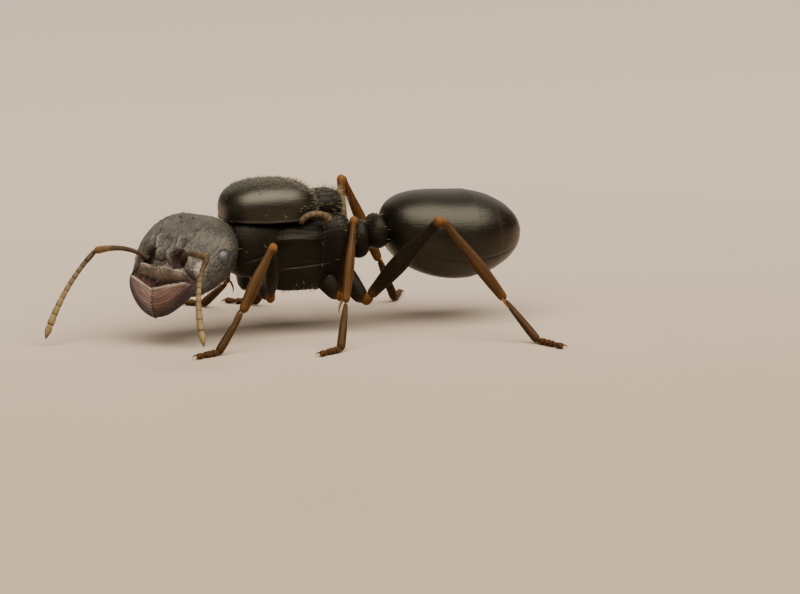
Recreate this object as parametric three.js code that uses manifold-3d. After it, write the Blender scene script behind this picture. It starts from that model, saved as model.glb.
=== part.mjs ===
// A life-size model of a harvester ant queen that has shed its wings, standing on six feet.
// Millimetres, +Z up. The ant faces -X with its left side toward -Y, and the floor is Z = 0.
// Each hard plate of the body and each length of a limb is a mesh of its own.
import * as THREE from "three";
import { mergeVertices } from "three/addons/utils/BufferGeometryUtils.js";
import Module from "manifold-3d";

const wasm = await Module();
wasm.setup();

// ---- Driving dimensions -------------------------------------------------------------------

const GAP = 0.03; // clear space between plates that meet
const LEFT = -1; // the left side is toward -Y
const RIGHT = 1;
const SIDES = [LEFT, RIGHT];
const DEGREE = Math.PI / 180;

// Plates: centre, half sizes along X, Y and Z, how square the shape is (2 is an ellipsoid)
const MESOSCUTUM = { at: [-0.81, 0, 4.2], half: [1.65, 1.34, 1.0], square: 2.45, detail: 4 };
const MESOSCUTUM_RIM = 3.86; // height of the dome's lower edge
const SCUTELLUM = { at: [1.0, 0, 4.24], half: [0.8, 0.92, 0.5], square: 2.5, detail: 3 };
const SCUTELLUM_RIM = 4.0;
const MESOTHORAX = { at: [0.1, 0, 2.7], half: [1.36, 1.24, 1.32], square: 3.3, detail: 4 };
const PRONOTUM = { at: [-1.35, 0, 3.02], half: [1.08, 1.2, 1.12], square: 2.9, detail: 4 };
const PROPODEUM = { at: [1.3, 0, 2.85], half: [0.82, 1.1, 1.24], square: 3.1, detail: 3 };
const PETIOLE = { at: [2.42, 0, 2.95], half: [0.42, 0.52, 0.66], square: 2.2, detail: 2 };
const POSTPETIOLE = { at: [3.02, 0, 3.18], half: [0.44, 0.7, 0.6], square: 2.3, detail: 2 };
const NODE_PINCH = 0.35; // how much the waist's two nodes thin toward their tops
const GASTER = { at: [5.8, 0, 2.93], half: [2.32, 1.78, 1.5], square: 2.12, detail: 5 };
const GASTER_FRONT = { length: 2.56, square: 2.4, lift: 0.44 }; // its blunter, raised front half
const GASTER_CUTS = [0.62, 0.78, 0.9]; // where its plates end, as shares of its length
const GASTER_SLIM = 0.1; // how much the gaster narrows behind its middle
const GASTER_STEP = 0.018; // how much smaller each following plate is, as a share
const NECK = { radius: 0.42, from: [-2.1, 0, 3.05], to: [-2.95, 0.02, 3.36] };
const PETIOLE_STEM = { radius: 0.27, from: [1.7, 0, 2.4], to: [2.45, 0, 2.7] };
const GASTER_STEM = { radius: 0.3, from: [3.1, 0, 3.2], to: [3.8, 0, 3.35] };
const WING_STUB = { x: 0.45, y: 1.24, z: 3.76, span: 0.5, rise: 0.34, radius: 0.14 };

// Head: its own frame has the same directions as the body's before it is turned
const HEAD_AT = [-3.92, -0.79, 2.88];
const HEAD_YAW = 32 * DEGREE; // toward the left
const HEAD_PITCH = -37.5 * DEGREE; // nose down
const HEAD = { at: [0, 0, 0], half: [1.6, 1.73, 1.07], square: 2.4, detail: 5 };
const EYE = { at: [0.0, 1.62, 0.12], half: [0.24, 0.19, 0.28], square: 2, detail: 1 };
const MUZZLE = { front: 1.36, widen: 0.36, from: 0.9, taper: 0.36, droop: 0.06 }; // the head's broad front
const CHEEK_SLIM = 0.06; // how much the head narrows ahead of its middle
const NAPE_DENT = 0.16;
const NAPE_WIDTH = 0.7;
const LOBE = { x: -0.98, y: 0.42, length: 0.42, width: 0.24, height: 0.16 };
const SOCKET = { x: -0.94, y: 0.58, z: 0.78, radius: 0.29 };
const MANDIBLE = { base: 1.2, tip: 2.43, width: 1.42, inner: 0.03, z: 0.1, thick: 0.62, bevel: 0.14,
  drop: 0.6, tipThin: 0.35, heel: 0.28, crossing: 0.75, blunt: 0.08 };
const JAW_OVERLAP = 0.31; // how far the left jaw closes over the middle in front of the right one

// Feelers: the scape is the first long length, the funiculus the beaded rest
const SCAPE = { length: 2.35, radius: 0.25, bend: 0.28, bendAt: 0.35 };
const FUNICULUS = { length: 3.65, radius: 0.25 };
const FEELER_POSES = {
  left: { side: LEFT, scape: [-0.21, 0.89, 0.41], funiculus: [-1.0, -2.5, -2.5], sag: 0.25 },
  right: { side: RIGHT, scape: [0.0, 1.0, -0.02], funiculus: [-2.15, -1.3, -2.55], sag: 0.15 },
};

// Legs: lengths and thicknesses of each pair, then the angles of each leg
const LEG_SIZES = {
  fore: { hip: [-1.38, 0.5, 2.35], trochanter: [-1.14, 1.26, 1.32], coxa: 0.46,
    femur: 2.68, tibia: 2.5, basitarsus: 1.5, toes: 0.95 },
  mid: { hip: [0.7, 0.6, 2.1], trochanter: [1.35, 1.16, 1.2], coxa: 0.4,
    femur: 3.25, tibia: 2.95, basitarsus: 1.6, toes: 1.0 },
  hind: { hip: [1.6, 0.55, 2.05], trochanter: [2.24, 1.12, 1.02], coxa: 0.42,
    femur: 4.05, tibia: 3.42, basitarsus: 1.7, toes: 1.25 },
};
const FEMUR_RADIUS = { start: 0.24, end: 0.25, belly: 0.13 };
const TIBIA_RADIUS = { start: 0.25, end: 0.26, belly: 0.04 };
const COXA_END = 0.27;
const TARSUS_RADIUS = 0.25;
const TOE_HEIGHT = 0.2; // height of the toes' middle line, so that each foot stands on a flat
// Angles in degrees. Swing is measured from straight out sideways toward the front.
const LEG_POSES = [
  { name: "fore_left", pair: "fore", side: LEFT, femur: [16, 51], tibia: [67, -56], tarsus: [72, 62] },
  { name: "mid_left", pair: "mid", side: LEFT, femur: [0, 64], tibia: [32, -63], tarsus: [30, 58] },
  { name: "hind_left", pair: "hind", side: LEFT, femur: [-48, 47], tibia: [-53, -50], tarsus: [-40, -18] },
  { name: "fore_right", pair: "fore", side: RIGHT, femur: [4, 47], tibia: [-25, -67], tarsus: [18, 45] },
  { name: "mid_right", pair: "mid", side: RIGHT, femur: [34, 58], tibia: [-19, -66], tarsus: [14, 50] },
  { name: "hind_right", pair: "hind", side: RIGHT, femur: [-19, 62], tibia: [-75, -63], tarsus: [-50, -28] },
];

// ---- Finishes -----------------------------------------------------------------------------

const finish = (color, roughness) => new THREE.MeshStandardMaterial({ color, roughness, metalness: 0 });
const BLACK_SHELL = finish(0x14110f, 0.25);
const DULL_SHELL = finish(0x2a2523, 0.6);
const RED_SHELL = finish(0x40201a, 0.4);
const BROWN_LIMB = finish(0x4a2a18, 0.45);
const EYE_GLOSS = finish(0x3a3a3c, 0.2);

// ---- Turning geometry into solids and back ------------------------------------------------

function toSolid(geometry) {
  const bare = geometry.clone();
  bare.deleteAttribute("normal");
  bare.deleteAttribute("uv");
  const merged = mergeVertices(bare, 1e-5);
  const vertProperties = new Float32Array(merged.attributes.position.array);
  const triVerts = new Uint32Array(merged.index.array);
  return new wasm.Manifold(new wasm.Mesh({ numProp: 3, vertProperties, triVerts }));
}

function toGeometry(solid) {
  const mesh = solid.getMesh();
  const geometry = new THREE.BufferGeometry();
  geometry.setAttribute("position", new THREE.BufferAttribute(mesh.vertProperties, mesh.numProp));
  geometry.setIndex(new THREE.BufferAttribute(mesh.triVerts, 1));
  geometry.computeVertexNormals();
  return geometry;
}

function without(solid, others) {
  return others.reduce((rest, other) => rest.subtract(other), solid);
}

// ---- Shapes -------------------------------------------------------------------------------

// A plate of shell: a ball pushed out to a squared ellipsoid, then shaped by a function
function plate({ at, half, square, detail }, grow = 0, shape = (point) => point) {
  const geometry = new THREE.IcosahedronGeometry(1, detail);
  const position = geometry.attributes.position;
  const point = new THREE.Vector3();
  const sizes = half.map((size) => size + grow);
  for (let i = 0; i < position.count; i += 1) {
    point.fromBufferAttribute(position, i);
    const reach = (Math.abs(point.x / sizes[0]) ** square + Math.abs(point.y / sizes[1]) ** square
      + Math.abs(point.z / sizes[2]) ** square) ** (-1 / square);
    shape(point.multiplyScalar(reach));
    position.setXYZ(i, point.x + at[0], point.y + at[1], point.z + at[2]);
  }
  return toSolid(geometry);
}

// A round length of limb from one point to another, with rounded ends and a swollen middle
function limb(from, to, { start, end, belly = 0 }, grow = 0, sides = 8, rings = 5) {
  const direction = to.clone().sub(from);
  const length = direction.length() + 2 * grow;
  const profile = [];
  for (let i = 0; i <= rings; i += 1) {
    const along = (1 - Math.cos((Math.PI * i) / rings)) / 2;
    const full = THREE.MathUtils.lerp(start, end, along) + belly * Math.sin(Math.PI * along) + grow;
    const fromEnd = Math.min(along, 1 - along) * length;
    const round = Math.min(1, fromEnd / full);
    profile.push(new THREE.Vector2(full * Math.sqrt(1 - (1 - round) ** 2), along * length - grow));
  }
  profile[0].x = 0;
  profile[rings].x = 0;
  const geometry = new THREE.LatheGeometry(profile, sides);
  const turn = new THREE.Quaternion();
  turn.setFromUnitVectors(new THREE.Vector3(0, 1, 0), direction.clone().normalize());
  geometry.applyQuaternion(turn);
  geometry.translate(from.x, from.y, from.z);
  return toSolid(geometry);
}

// A round rod along a smooth path, its ends closed flat
function rod(points, radius, steps, sides = 8) {
  const section = new THREE.Shape();
  for (let i = 0; i < sides; i += 1) {
    const angle = (2 * Math.PI * i) / sides;
    const place = [radius * Math.cos(angle), radius * Math.sin(angle)];
    if (i === 0) section.moveTo(...place);
    else section.lineTo(...place);
  }
  const path = new THREE.CatmullRomCurve3(points);
  return toSolid(new THREE.ExtrudeGeometry(section, { steps, extrudePath: path }));
}

function box(low, high) {
  const size = new THREE.Vector3().subVectors(high, low);
  const geometry = new THREE.BoxGeometry(size.x, size.y, size.z);
  geometry.translate((low.x + high.x) / 2, (low.y + high.y) / 2, (low.z + high.z) / 2);
  return toSolid(geometry);
}

const FAR = 40; // beyond the model on every side
const vector = (list) => new THREE.Vector3(...list);
const above = (height) => box(new THREE.Vector3(-FAR, -FAR, height), new THREE.Vector3(FAR, FAR, FAR));
const between = (low, high) => box(new THREE.Vector3(low, -FAR, -FAR), new THREE.Vector3(high, FAR, FAR));

// ---- The model ----------------------------------------------------------------------------

const ant = new THREE.Group();
const head = new THREE.Group();
head.position.set(...HEAD_AT);
head.rotation.set(0, HEAD_PITCH, HEAD_YAW, "ZYX");
head.updateMatrix();
ant.add(head);

function addPart(group, name, solid, material) {
  const mesh = new THREE.Mesh(toGeometry(solid), material);
  mesh.name = name;
  group.add(mesh);
}

// A solid of the head's own frame as it lies in the body's frame
function fromHead(solid) {
  return toSolid(toGeometry(solid).applyMatrix4(head.matrix));
}

// The head has a broad flat muzzle that slopes to the jaws, a dented nape and two frontal lobes
function headShape(point) {
  const forward = Math.max(0, -point.x / HEAD.half[0]);
  const backward = Math.max(0, point.x / HEAD.half[0]);
  const muzzle = THREE.MathUtils.clamp((-point.x - MUZZLE.from) / (MUZZLE.front - MUZZLE.from), 0, 1);
  point.y *= 1 - CHEEK_SLIM * forward ** 2 + MUZZLE.widen * muzzle ** 1.5;
  point.z *= 1 - MUZZLE.taper * forward ** 2;
  point.z -= MUZZLE.droop * forward;
  point.x -= NAPE_DENT * Math.exp(-((point.y / NAPE_WIDTH) ** 2)) * backward ** 4;
  point.x = Math.max(point.x, -MUZZLE.front);
  for (const side of SIDES) {
    const dx = (point.x - LOBE.x) / LOBE.length;
    const dy = (point.y - side * LOBE.y) / LOBE.width;
    if (point.z > 0) point.z += LOBE.height * Math.exp(-dx * dx - dy * dy);
  }
  return point;
}

// The waist's nodes are thinner above than below
function nodeShape(half) {
  return (point) => point.setX(point.x * (1 - NODE_PINCH * Math.max(0, point.z / half[2])));
}

// The gaster's front half is blunt and lifted toward the waist, its rear half narrows to a point
function gasterShape(grow) {
  const [length, halfY, halfZ] = GASTER.half.map((size) => size + grow);
  const { square } = GASTER;
  return (point) => {
    if (point.x >= 0) {
      const slim = 1 - GASTER_SLIM * (point.x / length) ** 2;
      return point.set(point.x, point.y * slim, point.z * slim);
    }
    const [y, z] = [Math.abs(point.y / halfY), Math.abs(point.z / halfZ)];
    const across = Math.min(1, (y ** square + z ** square) ** (1 / square));
    const along = (1 - across ** GASTER_FRONT.square) ** (1 / GASTER_FRONT.square);
    point.x = -(GASTER_FRONT.length + grow) * along;
    point.z += GASTER_FRONT.lift * along ** 1.5;
    return point;
  };
}

// A closed outline extruded for a jaw on the left, thinned and bent down toward its tip
function jawGeometry(overlap) {
  const { base, tip, width, inner, thick, drop, bevel, tipThin, heel, crossing, blunt } = MANDIBLE;
  const outline = new THREE.Shape();
  outline.moveTo(base, width);
  outline.bezierCurveTo(base + 0.4 * (tip - base), width, tip - blunt, width * 0.55, tip, inner + blunt);
  outline.lineTo(tip - blunt, inner);
  outline.lineTo(base + crossing, inner - overlap);
  outline.lineTo(base + heel, inner - overlap);
  outline.quadraticCurveTo(base + heel, width * 0.45, base, width * 0.6);
  const geometry = new THREE.ExtrudeGeometry(outline, {
    depth: thick - 2 * bevel, curveSegments: 6, steps: 1, bevelSize: bevel / 2,
    bevelOffset: -bevel / 3, bevelThickness: bevel, bevelSegments: 1,
  });
  geometry.translate(0, 0, bevel - thick / 2);
  const position = geometry.attributes.position;
  for (let i = 0; i < position.count; i += 1) {
    const run = (position.getX(i) - base) / (tip - base);
    const height = position.getZ(i) * (1 - tipThin * run) - drop * run * run + MANDIBLE.z;
    position.setXYZ(i, -position.getX(i), -position.getY(i), height);
  }
  return geometry;
}

// The same geometry on the other side, its faces turned so that they still point out
function mirrored(geometry) {
  const copy = geometry.clone().scale(1, -1, 1);
  const position = copy.attributes.position;
  const [second, third] = [new THREE.Vector3(), new THREE.Vector3()];
  for (let i = 0; i < position.count; i += 3) {
    second.fromBufferAttribute(position, i + 1);
    third.fromBufferAttribute(position, i + 2);
    position.setXYZ(i + 1, third.x, third.y, third.z);
    position.setXYZ(i + 2, second.x, second.y, second.z);
  }
  return copy;
}

const onSide = ({ at, ...rest }, side) => ({ at: [at[0], side * at[1], at[2]], ...rest });
const sideName = (side) => (side === LEFT ? "left" : "right");

// -- Head, eyes and jaws, in the head's own frame
const socketAt = (side) => new THREE.Vector3(SOCKET.x, side * SOCKET.y, SOCKET.z);
const socketHalf = [SOCKET.radius, SOCKET.radius, SOCKET.radius];
const pits = SIDES.flatMap((side) => [
  plate(onSide(EYE, side), GAP),
  plate({ at: socketAt(side).toArray(), half: socketHalf, square: 2, detail: 1 }),
]);
const skull = without(plate(HEAD, 0, headShape), pits);
const skullGrown = without(plate(HEAD, GAP, headShape), pits);
addPart(head, "head", skull, DULL_SHELL);
for (const side of SIDES) {
  addPart(head, `eye_${sideName(side)}`, plate(onSide(EYE, side)), EYE_GLOSS);
  const jaw = side === LEFT ? jawGeometry(JAW_OVERLAP) : mirrored(jawGeometry(-JAW_OVERLAP));
  addPart(head, `mandible_${sideName(side)}`, without(toSolid(jaw), [skullGrown]), RED_SHELL);
}

// -- Feelers: the scape leaves its pit upward and bends out, the funiculus hangs from its end
for (const [name, pose] of Object.entries(FEELER_POSES)) {
  const base = socketAt(pose.side);
  const out = new THREE.Vector3(pose.scape[0], pose.side * pose.scape[1], pose.scape[2]).normalize();
  const elbow = base.clone().addScaledVector(out, SCAPE.length);
  const bend = base.clone().addScaledVector(out, SCAPE.length * SCAPE.bendAt);
  bend.z += SCAPE.bend;
  const scapePath = [base, bend, elbow];
  const scape = without(rod(scapePath, SCAPE.radius, 6), [skullGrown]);
  addPart(head, `scape_${name}`, scape, BROWN_LIMB);
  const start = elbow.clone().applyMatrix4(head.matrix);
  const run = vector(pose.funiculus).setLength(FUNICULUS.length);
  const middle = start.clone().addScaledVector(run, 0.5);
  middle.add(new THREE.Vector3(-pose.sag, 0, pose.sag));
  const end = start.clone().add(run);
  const scapeGrown = fromHead(rod(scapePath, SCAPE.radius + GAP, 6));
  const funiculus = without(rod([start, middle, end], FUNICULUS.radius, 9), [scapeGrown]);
  addPart(ant, `funiculus_${name}`, funiculus, BROWN_LIMB);
}

// -- Plates of the body, each cut by the grown shapes of those before it
const dome = (grow) => plate(MESOSCUTUM, grow).intersect(above(MESOSCUTUM_RIM - grow));
const shield = (grow) => plate(SCUTELLUM, grow).intersect(above(SCUTELLUM_RIM - grow));
addPart(ant, "mesoscutum", dome(0), BLACK_SHELL);
addPart(ant, "scutellum", without(shield(0), [dome(GAP)]), BLACK_SHELL);
const back = [dome(GAP), shield(GAP)];
addPart(ant, "mesothorax", without(plate(MESOTHORAX), back), BLACK_SHELL);
back.push(plate(MESOTHORAX, GAP));
addPart(ant, "pronotum", without(plate(PRONOTUM), back), BLACK_SHELL);
addPart(ant, "propodeum", without(plate(PROPODEUM), back), BLACK_SHELL);
const trunk = [...back, plate(PRONOTUM, GAP), plate(PROPODEUM, GAP)];

const stem = ({ radius, from, to }, grow) => (
  limb(vector(from), vector(to), { start: radius, end: radius }, grow));
const neckCuts = [fromHead(skullGrown), ...trunk];
addPart(ant, "neck", without(stem(NECK, 0), neckCuts), DULL_SHELL);

const egg = (grow) => plate(GASTER, grow, gasterShape(grow));
const node = (shape, grow) => plate(shape, grow, nodeShape(shape.half));
const postpetiole = (grow) => node(POSTPETIOLE, grow).add(stem(GASTER_STEM, grow));
addPart(ant, "postpetiole", without(postpetiole(0), [egg(GAP)]), BLACK_SHELL);
const petiole = node(PETIOLE, 0).add(stem(PETIOLE_STEM, 0));
addPart(ant, "petiole", without(petiole, [...trunk, postpetiole(GAP)]), BLACK_SHELL);

// -- Gaster: its plates are slices of one egg, each a little smaller than the one before
const gasterFront = GASTER.at[0] - GASTER_FRONT.length;
const gasterLength = GASTER_FRONT.length + GASTER.half[0];
const cutPlaces = [-FAR, ...GASTER_CUTS.map((share) => gasterFront + share * gasterLength), FAR];
for (let i = 0; i + 1 < cutPlaces.length; i += 1) {
  const slice = between(cutPlaces[i] + (i ? GAP : 0), cutPlaces[i + 1]);
  const solid = egg(-i * GASTER_STEP).intersect(slice);
  addPart(ant, `gaster_${i + 1}`, solid, BLACK_SHELL);
}

// -- Wing stubs: the arched rim that is left where each wing broke off
for (const side of SIDES) {
  const { x, y, z, span, rise, radius } = WING_STUB;
  const arch = [-1, -0.5, 0, 0.5, 1].map((share) => (
    new THREE.Vector3(x + share * span, side * y, z + rise * Math.cos((share * Math.PI) / 2))));
  const solid = without(rod(arch, radius, 5, 6), trunk);
  addPart(ant, `wing_stub_${sideName(side)}`, solid, BROWN_LIMB);
}

// -- Legs
function aim(side, [swing, rise]) {
  const across = Math.cos(rise * DEGREE);
  return new THREE.Vector3(-across * Math.sin(swing * DEGREE), side * across * Math.cos(swing * DEGREE),
    Math.sin(rise * DEGREE));
}

const floor = above(0);
for (const pose of LEG_POSES) {
  const sizes = LEG_SIZES[pose.pair];
  const mirror = (list) => new THREE.Vector3(list[0], pose.side * list[1], list[2]);
  const hip = mirror(sizes.hip);
  const trochanter = mirror(sizes.trochanter);
  const knee = trochanter.clone().addScaledVector(aim(pose.side, pose.femur), sizes.femur);
  const ankle = knee.clone().addScaledVector(aim(pose.side, pose.tibia), sizes.tibia);
  const drop = -Math.asin((ankle.z - TOE_HEIGHT) / sizes.basitarsus) / DEGREE;
  const toes = ankle.clone().addScaledVector(aim(pose.side, [pose.tarsus[0], drop]), sizes.basitarsus);
  const tip = toes.clone().addScaledVector(aim(pose.side, [pose.tarsus[1], 0]), sizes.toes);

  const coxaRadius = { start: sizes.coxa, end: COXA_END };
  const coxa = (grow) => limb(hip, trochanter, coxaRadius, grow, 8, 4);
  const femur = (grow) => limb(trochanter, knee, FEMUR_RADIUS, grow);
  const tibia = (grow) => limb(knee, ankle, TIBIA_RADIUS, grow);
  const foot = rod([ankle, toes, tip], TARSUS_RADIUS, 6).intersect(floor);
  addPart(ant, `coxa_${pose.name}`, without(coxa(0), trunk), DULL_SHELL);
  addPart(ant, `femur_${pose.name}`, without(femur(0), [coxa(GAP), ...trunk]), BROWN_LIMB);
  addPart(ant, `tibia_${pose.name}`, without(tibia(0), [femur(GAP)]), BROWN_LIMB);
  addPart(ant, `tarsus_${pose.name}`, without(foot, [tibia(GAP)]), BROWN_LIMB);
}

// The floor's middle under the model is the origin
ant.updateMatrixWorld(true);
const bounds = new THREE.Box3().setFromObject(ant, true);
const middle = bounds.getCenter(new THREE.Vector3());
ant.position.set(-middle.x, -middle.y, -bounds.min.z);

export default ant;
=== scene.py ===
"""Dresses the harvester ant queen: shell plates, jaws, faceted eyes, feelers, legs and hairs."""

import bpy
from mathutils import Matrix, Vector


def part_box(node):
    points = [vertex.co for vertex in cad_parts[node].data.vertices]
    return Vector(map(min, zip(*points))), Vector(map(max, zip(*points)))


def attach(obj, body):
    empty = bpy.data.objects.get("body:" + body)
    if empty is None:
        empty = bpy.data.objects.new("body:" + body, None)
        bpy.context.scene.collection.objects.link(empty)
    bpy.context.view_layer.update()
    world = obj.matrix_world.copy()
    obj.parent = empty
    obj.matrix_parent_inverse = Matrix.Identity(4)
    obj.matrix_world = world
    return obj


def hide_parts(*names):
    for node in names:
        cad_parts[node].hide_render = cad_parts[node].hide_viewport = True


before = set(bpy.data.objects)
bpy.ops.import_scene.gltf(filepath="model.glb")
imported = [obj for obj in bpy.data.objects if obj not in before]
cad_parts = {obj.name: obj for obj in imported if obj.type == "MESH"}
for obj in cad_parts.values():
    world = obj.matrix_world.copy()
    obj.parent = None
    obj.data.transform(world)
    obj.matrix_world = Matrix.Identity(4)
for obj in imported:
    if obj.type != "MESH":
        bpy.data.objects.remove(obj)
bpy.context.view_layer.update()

import math

import bmesh
import bpy
import numpy as np
from bpy.props import FloatProperty, FloatVectorProperty, IntProperty, PointerProperty
from mathutils import Matrix, Vector

bl_info = {
    "name": "Harvester Ant Queen",
    "version": (1, 0, 0),
    "blender": (4, 5, 0),
    "location": "3D View > Sidebar > Ant",
    "description": "Builds the visible pieces of a life-size harvester ant queen",
    "category": "Object",
}

MM = 0.001
LEFT, RIGHT = -1, 1
SIDES = {"left": LEFT, "right": RIGHT}

# ---- Sizes in millimetres, in the ant's own directions: it faces -X, its left side is -Y ---------

# Plates: centre, half sizes, squareness (2 is an ellipsoid)
MESOSCUTUM = ((-0.81, 0, 4.2), (1.63, 1.32, 0.98), 2.45)
MESOSCUTUM_RIM = 3.86
SCUTELLUM = ((1.0, 0, 4.24), (0.78, 0.9, 0.48), 2.5)
SCUTELLUM_RIM = 4.0
SCUTELLUM_KNOB = ((0.42, 0.78, 4.14), (0.36, 0.3, 0.2), 2.2)
MESOTHORAX = ((0.1, 0, 2.7), (1.36, 1.22, 1.3), 3.3)
PRONOTUM = ((-1.35, 0, 3.02), (1.07, 1.19, 1.1), 2.9)
PROPODEUM = ((1.3, 0, 2.85), (0.81, 1.09, 1.22), 3.1)
PETIOLE = ((2.42, 0, 2.95), (0.41, 0.51, 0.65), 2.2)
POSTPETIOLE = ((3.02, 0, 3.18), (0.43, 0.69, 0.59), 2.3)
# Stems of the waist: where each starts and ends, half thickness
PETIOLE_STEM = ((1.7, 0, 2.4), (2.45, 0, 2.7), 0.25)
POSTPETIOLE_STEM = ((3.1, 0, 3.2), (3.7, 0, 3.33), 0.28)
GASTER = ((5.8, 0, 2.93), (2.3, 1.77, 1.49), 2.12)
GASTER_FRONT = {"length": 2.55, "square": 2.4, "lift": 0.44}
GASTER_CUTS = (0.0, 0.62, 0.78, 0.9, 1.0)
WING_STUB = {"middle": (0.45, 1.22, 3.76), "reach": (0.5, 0.03, 0.34), "half": 0.13, "length": 1.5}
NECK = {"path": ((-2.0, 0, 3.0), (-2.45, 0, 3.2), (-3.0, -0.02, 3.42)), "half": 0.4, "length": 1.1}
HEAD_AT = (-3.92, -0.79, 2.88)
HEAD_YAW = math.radians(32)
HEAD_PITCH = math.radians(-37.5)
HEAD = ((0, 0, 0), (1.6, 1.73, 1.07), 2.4)
EYE = ((0.0, 1.62, 0.12), (0.24, 0.19, 0.28))
FACETS = {"Half Size": (0.975, 0.975, 0.975), "Level": 5, "Groove": 0.018}
CROWN_EYES = ((0.55, 0.0), (0.82, 0.27), (0.82, -0.27))
MUZZLE = {"front": 1.36, "widen": 0.36, "from": 0.9, "taper": 0.36, "droop": 0.06}
SOCKET = (-0.94, 0.58, 0.78)
SOCKET_PIT = {"at": (0.87, 0.58), "half": 0.235, "ring": 0.34}
JAW = {"base": 1.2, "tip": 2.42, "width": 1.4, "z": 0.1, "thick": 0.6, "drop": 0.6, "overlap": 0.31}
JAW_RELIEF = {"grooves": 12, "groove": 0.026, "teeth": 6.5, "tooth": 0.05, "shelf": 0.07,
              "hollow": 0.12, "shut": 0.03}
SCAPE = {"length": 2.35, "bend": 0.28}
FUNICULUS_LENGTH = 3.65
# Directions of the two lengths, how far the funiculus sags, how much of the scape is pale
FEELERS = {
    "left": {"scape": (-0.21, 0.89, 0.41), "funiculus": (-1.0, -2.5, -2.5),
             "sag": 0.25, "warm": 0.3},
    "right": {"scape": (0.0, 1.0, -0.02), "funiculus": (-2.15, -1.3, -2.55),
              "sag": 0.15, "warm": 1.0},
}
BEAD_LENGTHS = (1.5, 0.8, 0.74, 0.74, 0.76, 0.8, 0.86, 0.92, 0.98, 1.02, 1.5)
# Places along the funiculus, with the beads' widths and how dark they are there
BEAD_WIDTHS = (0, 0.12, 0.3, 0.6, 0.88, 1), (1.0, 0.82, 0.74, 0.84, 1.1, 1.05)
BEAD_DARKS = (0, 0.12, 0.35, 0.52, 0.9, 1), (0.9, 0.85, 0.62, 0.22, 0.1, 0.2)
LEG_SIZES = {
    "fore": {"hip": (-1.38, 0.5, 2.35), "trochanter": (-1.14, 1.26, 1.32), "coxa": 0.42,
             "femur": 2.68, "tibia": 2.5, "basitarsus": 1.5, "toes": 0.95, "stout": 1.12},
    "mid": {"hip": (0.7, 0.6, 2.1), "trochanter": (1.35, 1.16, 1.2), "coxa": 0.37,
            "femur": 3.25, "tibia": 2.95, "basitarsus": 1.6, "toes": 1.0, "stout": 1.0},
    "hind": {"hip": (1.6, 0.55, 2.05), "trochanter": (2.24, 1.12, 1.02), "coxa": 0.38,
             "femur": 4.05, "tibia": 3.42, "basitarsus": 1.7, "toes": 1.25, "stout": 1.05},
}
SOLID_TOE_HEIGHT = 0.2
TOE_HEIGHT = 0.11
# Angles in degrees. Swing is measured from straight out sideways toward the front.
LEG_POSES = {
    "fore_left": ((16, 51), (67, -56), (72, 62)),
    "mid_left": ((0, 64), (32, -63), (30, 58)),
    "hind_left": ((-48, 47), (-53, -50), (-40, -18)),
    "fore_right": ((4, 47), (-25, -67), (18, 45)),
    "mid_right": ((34, 58), (-19, -66), (14, 50)),
    "hind_right": ((-19, 62), (-75, -63), (-50, -28)),
}
# How pale each leg is over all, and how much of the femur's black it has
LEG_TONES = {
    "fore_left": (0.12, 1.0), "mid_left": (0.17, 1.0), "hind_left": (0.0, 1.05),
    "fore_right": (0.12, 1.0), "mid_right": (0.2, 0.8), "hind_right": (0.3, 0.3),
}
# Where the toes' beads meet, and the beads' widths and how dark they are
TOE_MARKS = (0.27, 0.47, 0.62, 1.0)
TOE_WIDTHS = (1.15, 1.0, 0.95, 0.9, 0.8)
TOE_DARKS = (0.2, 0.12, 0.05, 0.0, 0.0)
# Hairs per square millimetre, length and width as shares of the usual, lean, curl
COATS = {
    "head": (34.0, 0.7, 0.9, 0.35, 0.16),
    "trunk": (34.0, 0.9, 1.0, 0.3, 0.3),
    "gaster": (11.0, 0.75, 0.8, 0.5, 0.25),
    "legs": (32.0, 0.9, 0.7, 0.5, 0.12),
    "feelers": (60.0, 0.9, 0.6, 0.55, 0.08),
}


# ---- Placing -------------------------------------------------------------------------------------

def head_turn():
    """The rotation of the head's own frame."""
    return Matrix.Rotation(HEAD_YAW, 3, "Z") @ Matrix.Rotation(HEAD_PITCH, 3, "Y")


HEAD_MATRIX = np.array(head_turn())


def from_head(points):
    """Points of the head's own frame in the body's frame."""
    return np.asarray(points, float) @ HEAD_MATRIX.T + np.array(HEAD_AT)


def on_side(place, side):
    """A left or right place, from the one on the right."""
    return np.array(place, float) * (1, side, 1)


def body_shift():
    """How far the frame's origin is from the body's own, read from the eye nodes."""
    places = []
    for name, side in SIDES.items():
        low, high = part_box(f"eye_{name}")
        middle = (np.array(low) + np.array(high)) / 2 / MM
        places.append(middle - from_head(on_side(EYE[0], side)))
    return np.mean(places, axis=0)


SHIFT = body_shift()


# ---- Settings shown in the sidebar ---------------------------------------------------------------

def length_setting(name, millimetres, description):
    """A length of the sidebar, in metres, from one in millimetres."""
    return FloatProperty(name=name, description=description, default=millimetres * MM,
                         unit="LENGTH", min=0.0, precision=6)


def colour_setting(name, value, description):
    """A colour of the sidebar."""
    return FloatVectorProperty(name=name, description=description, default=value, subtype="COLOR",
                               size=3, min=0.0, max=1.0)


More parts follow.
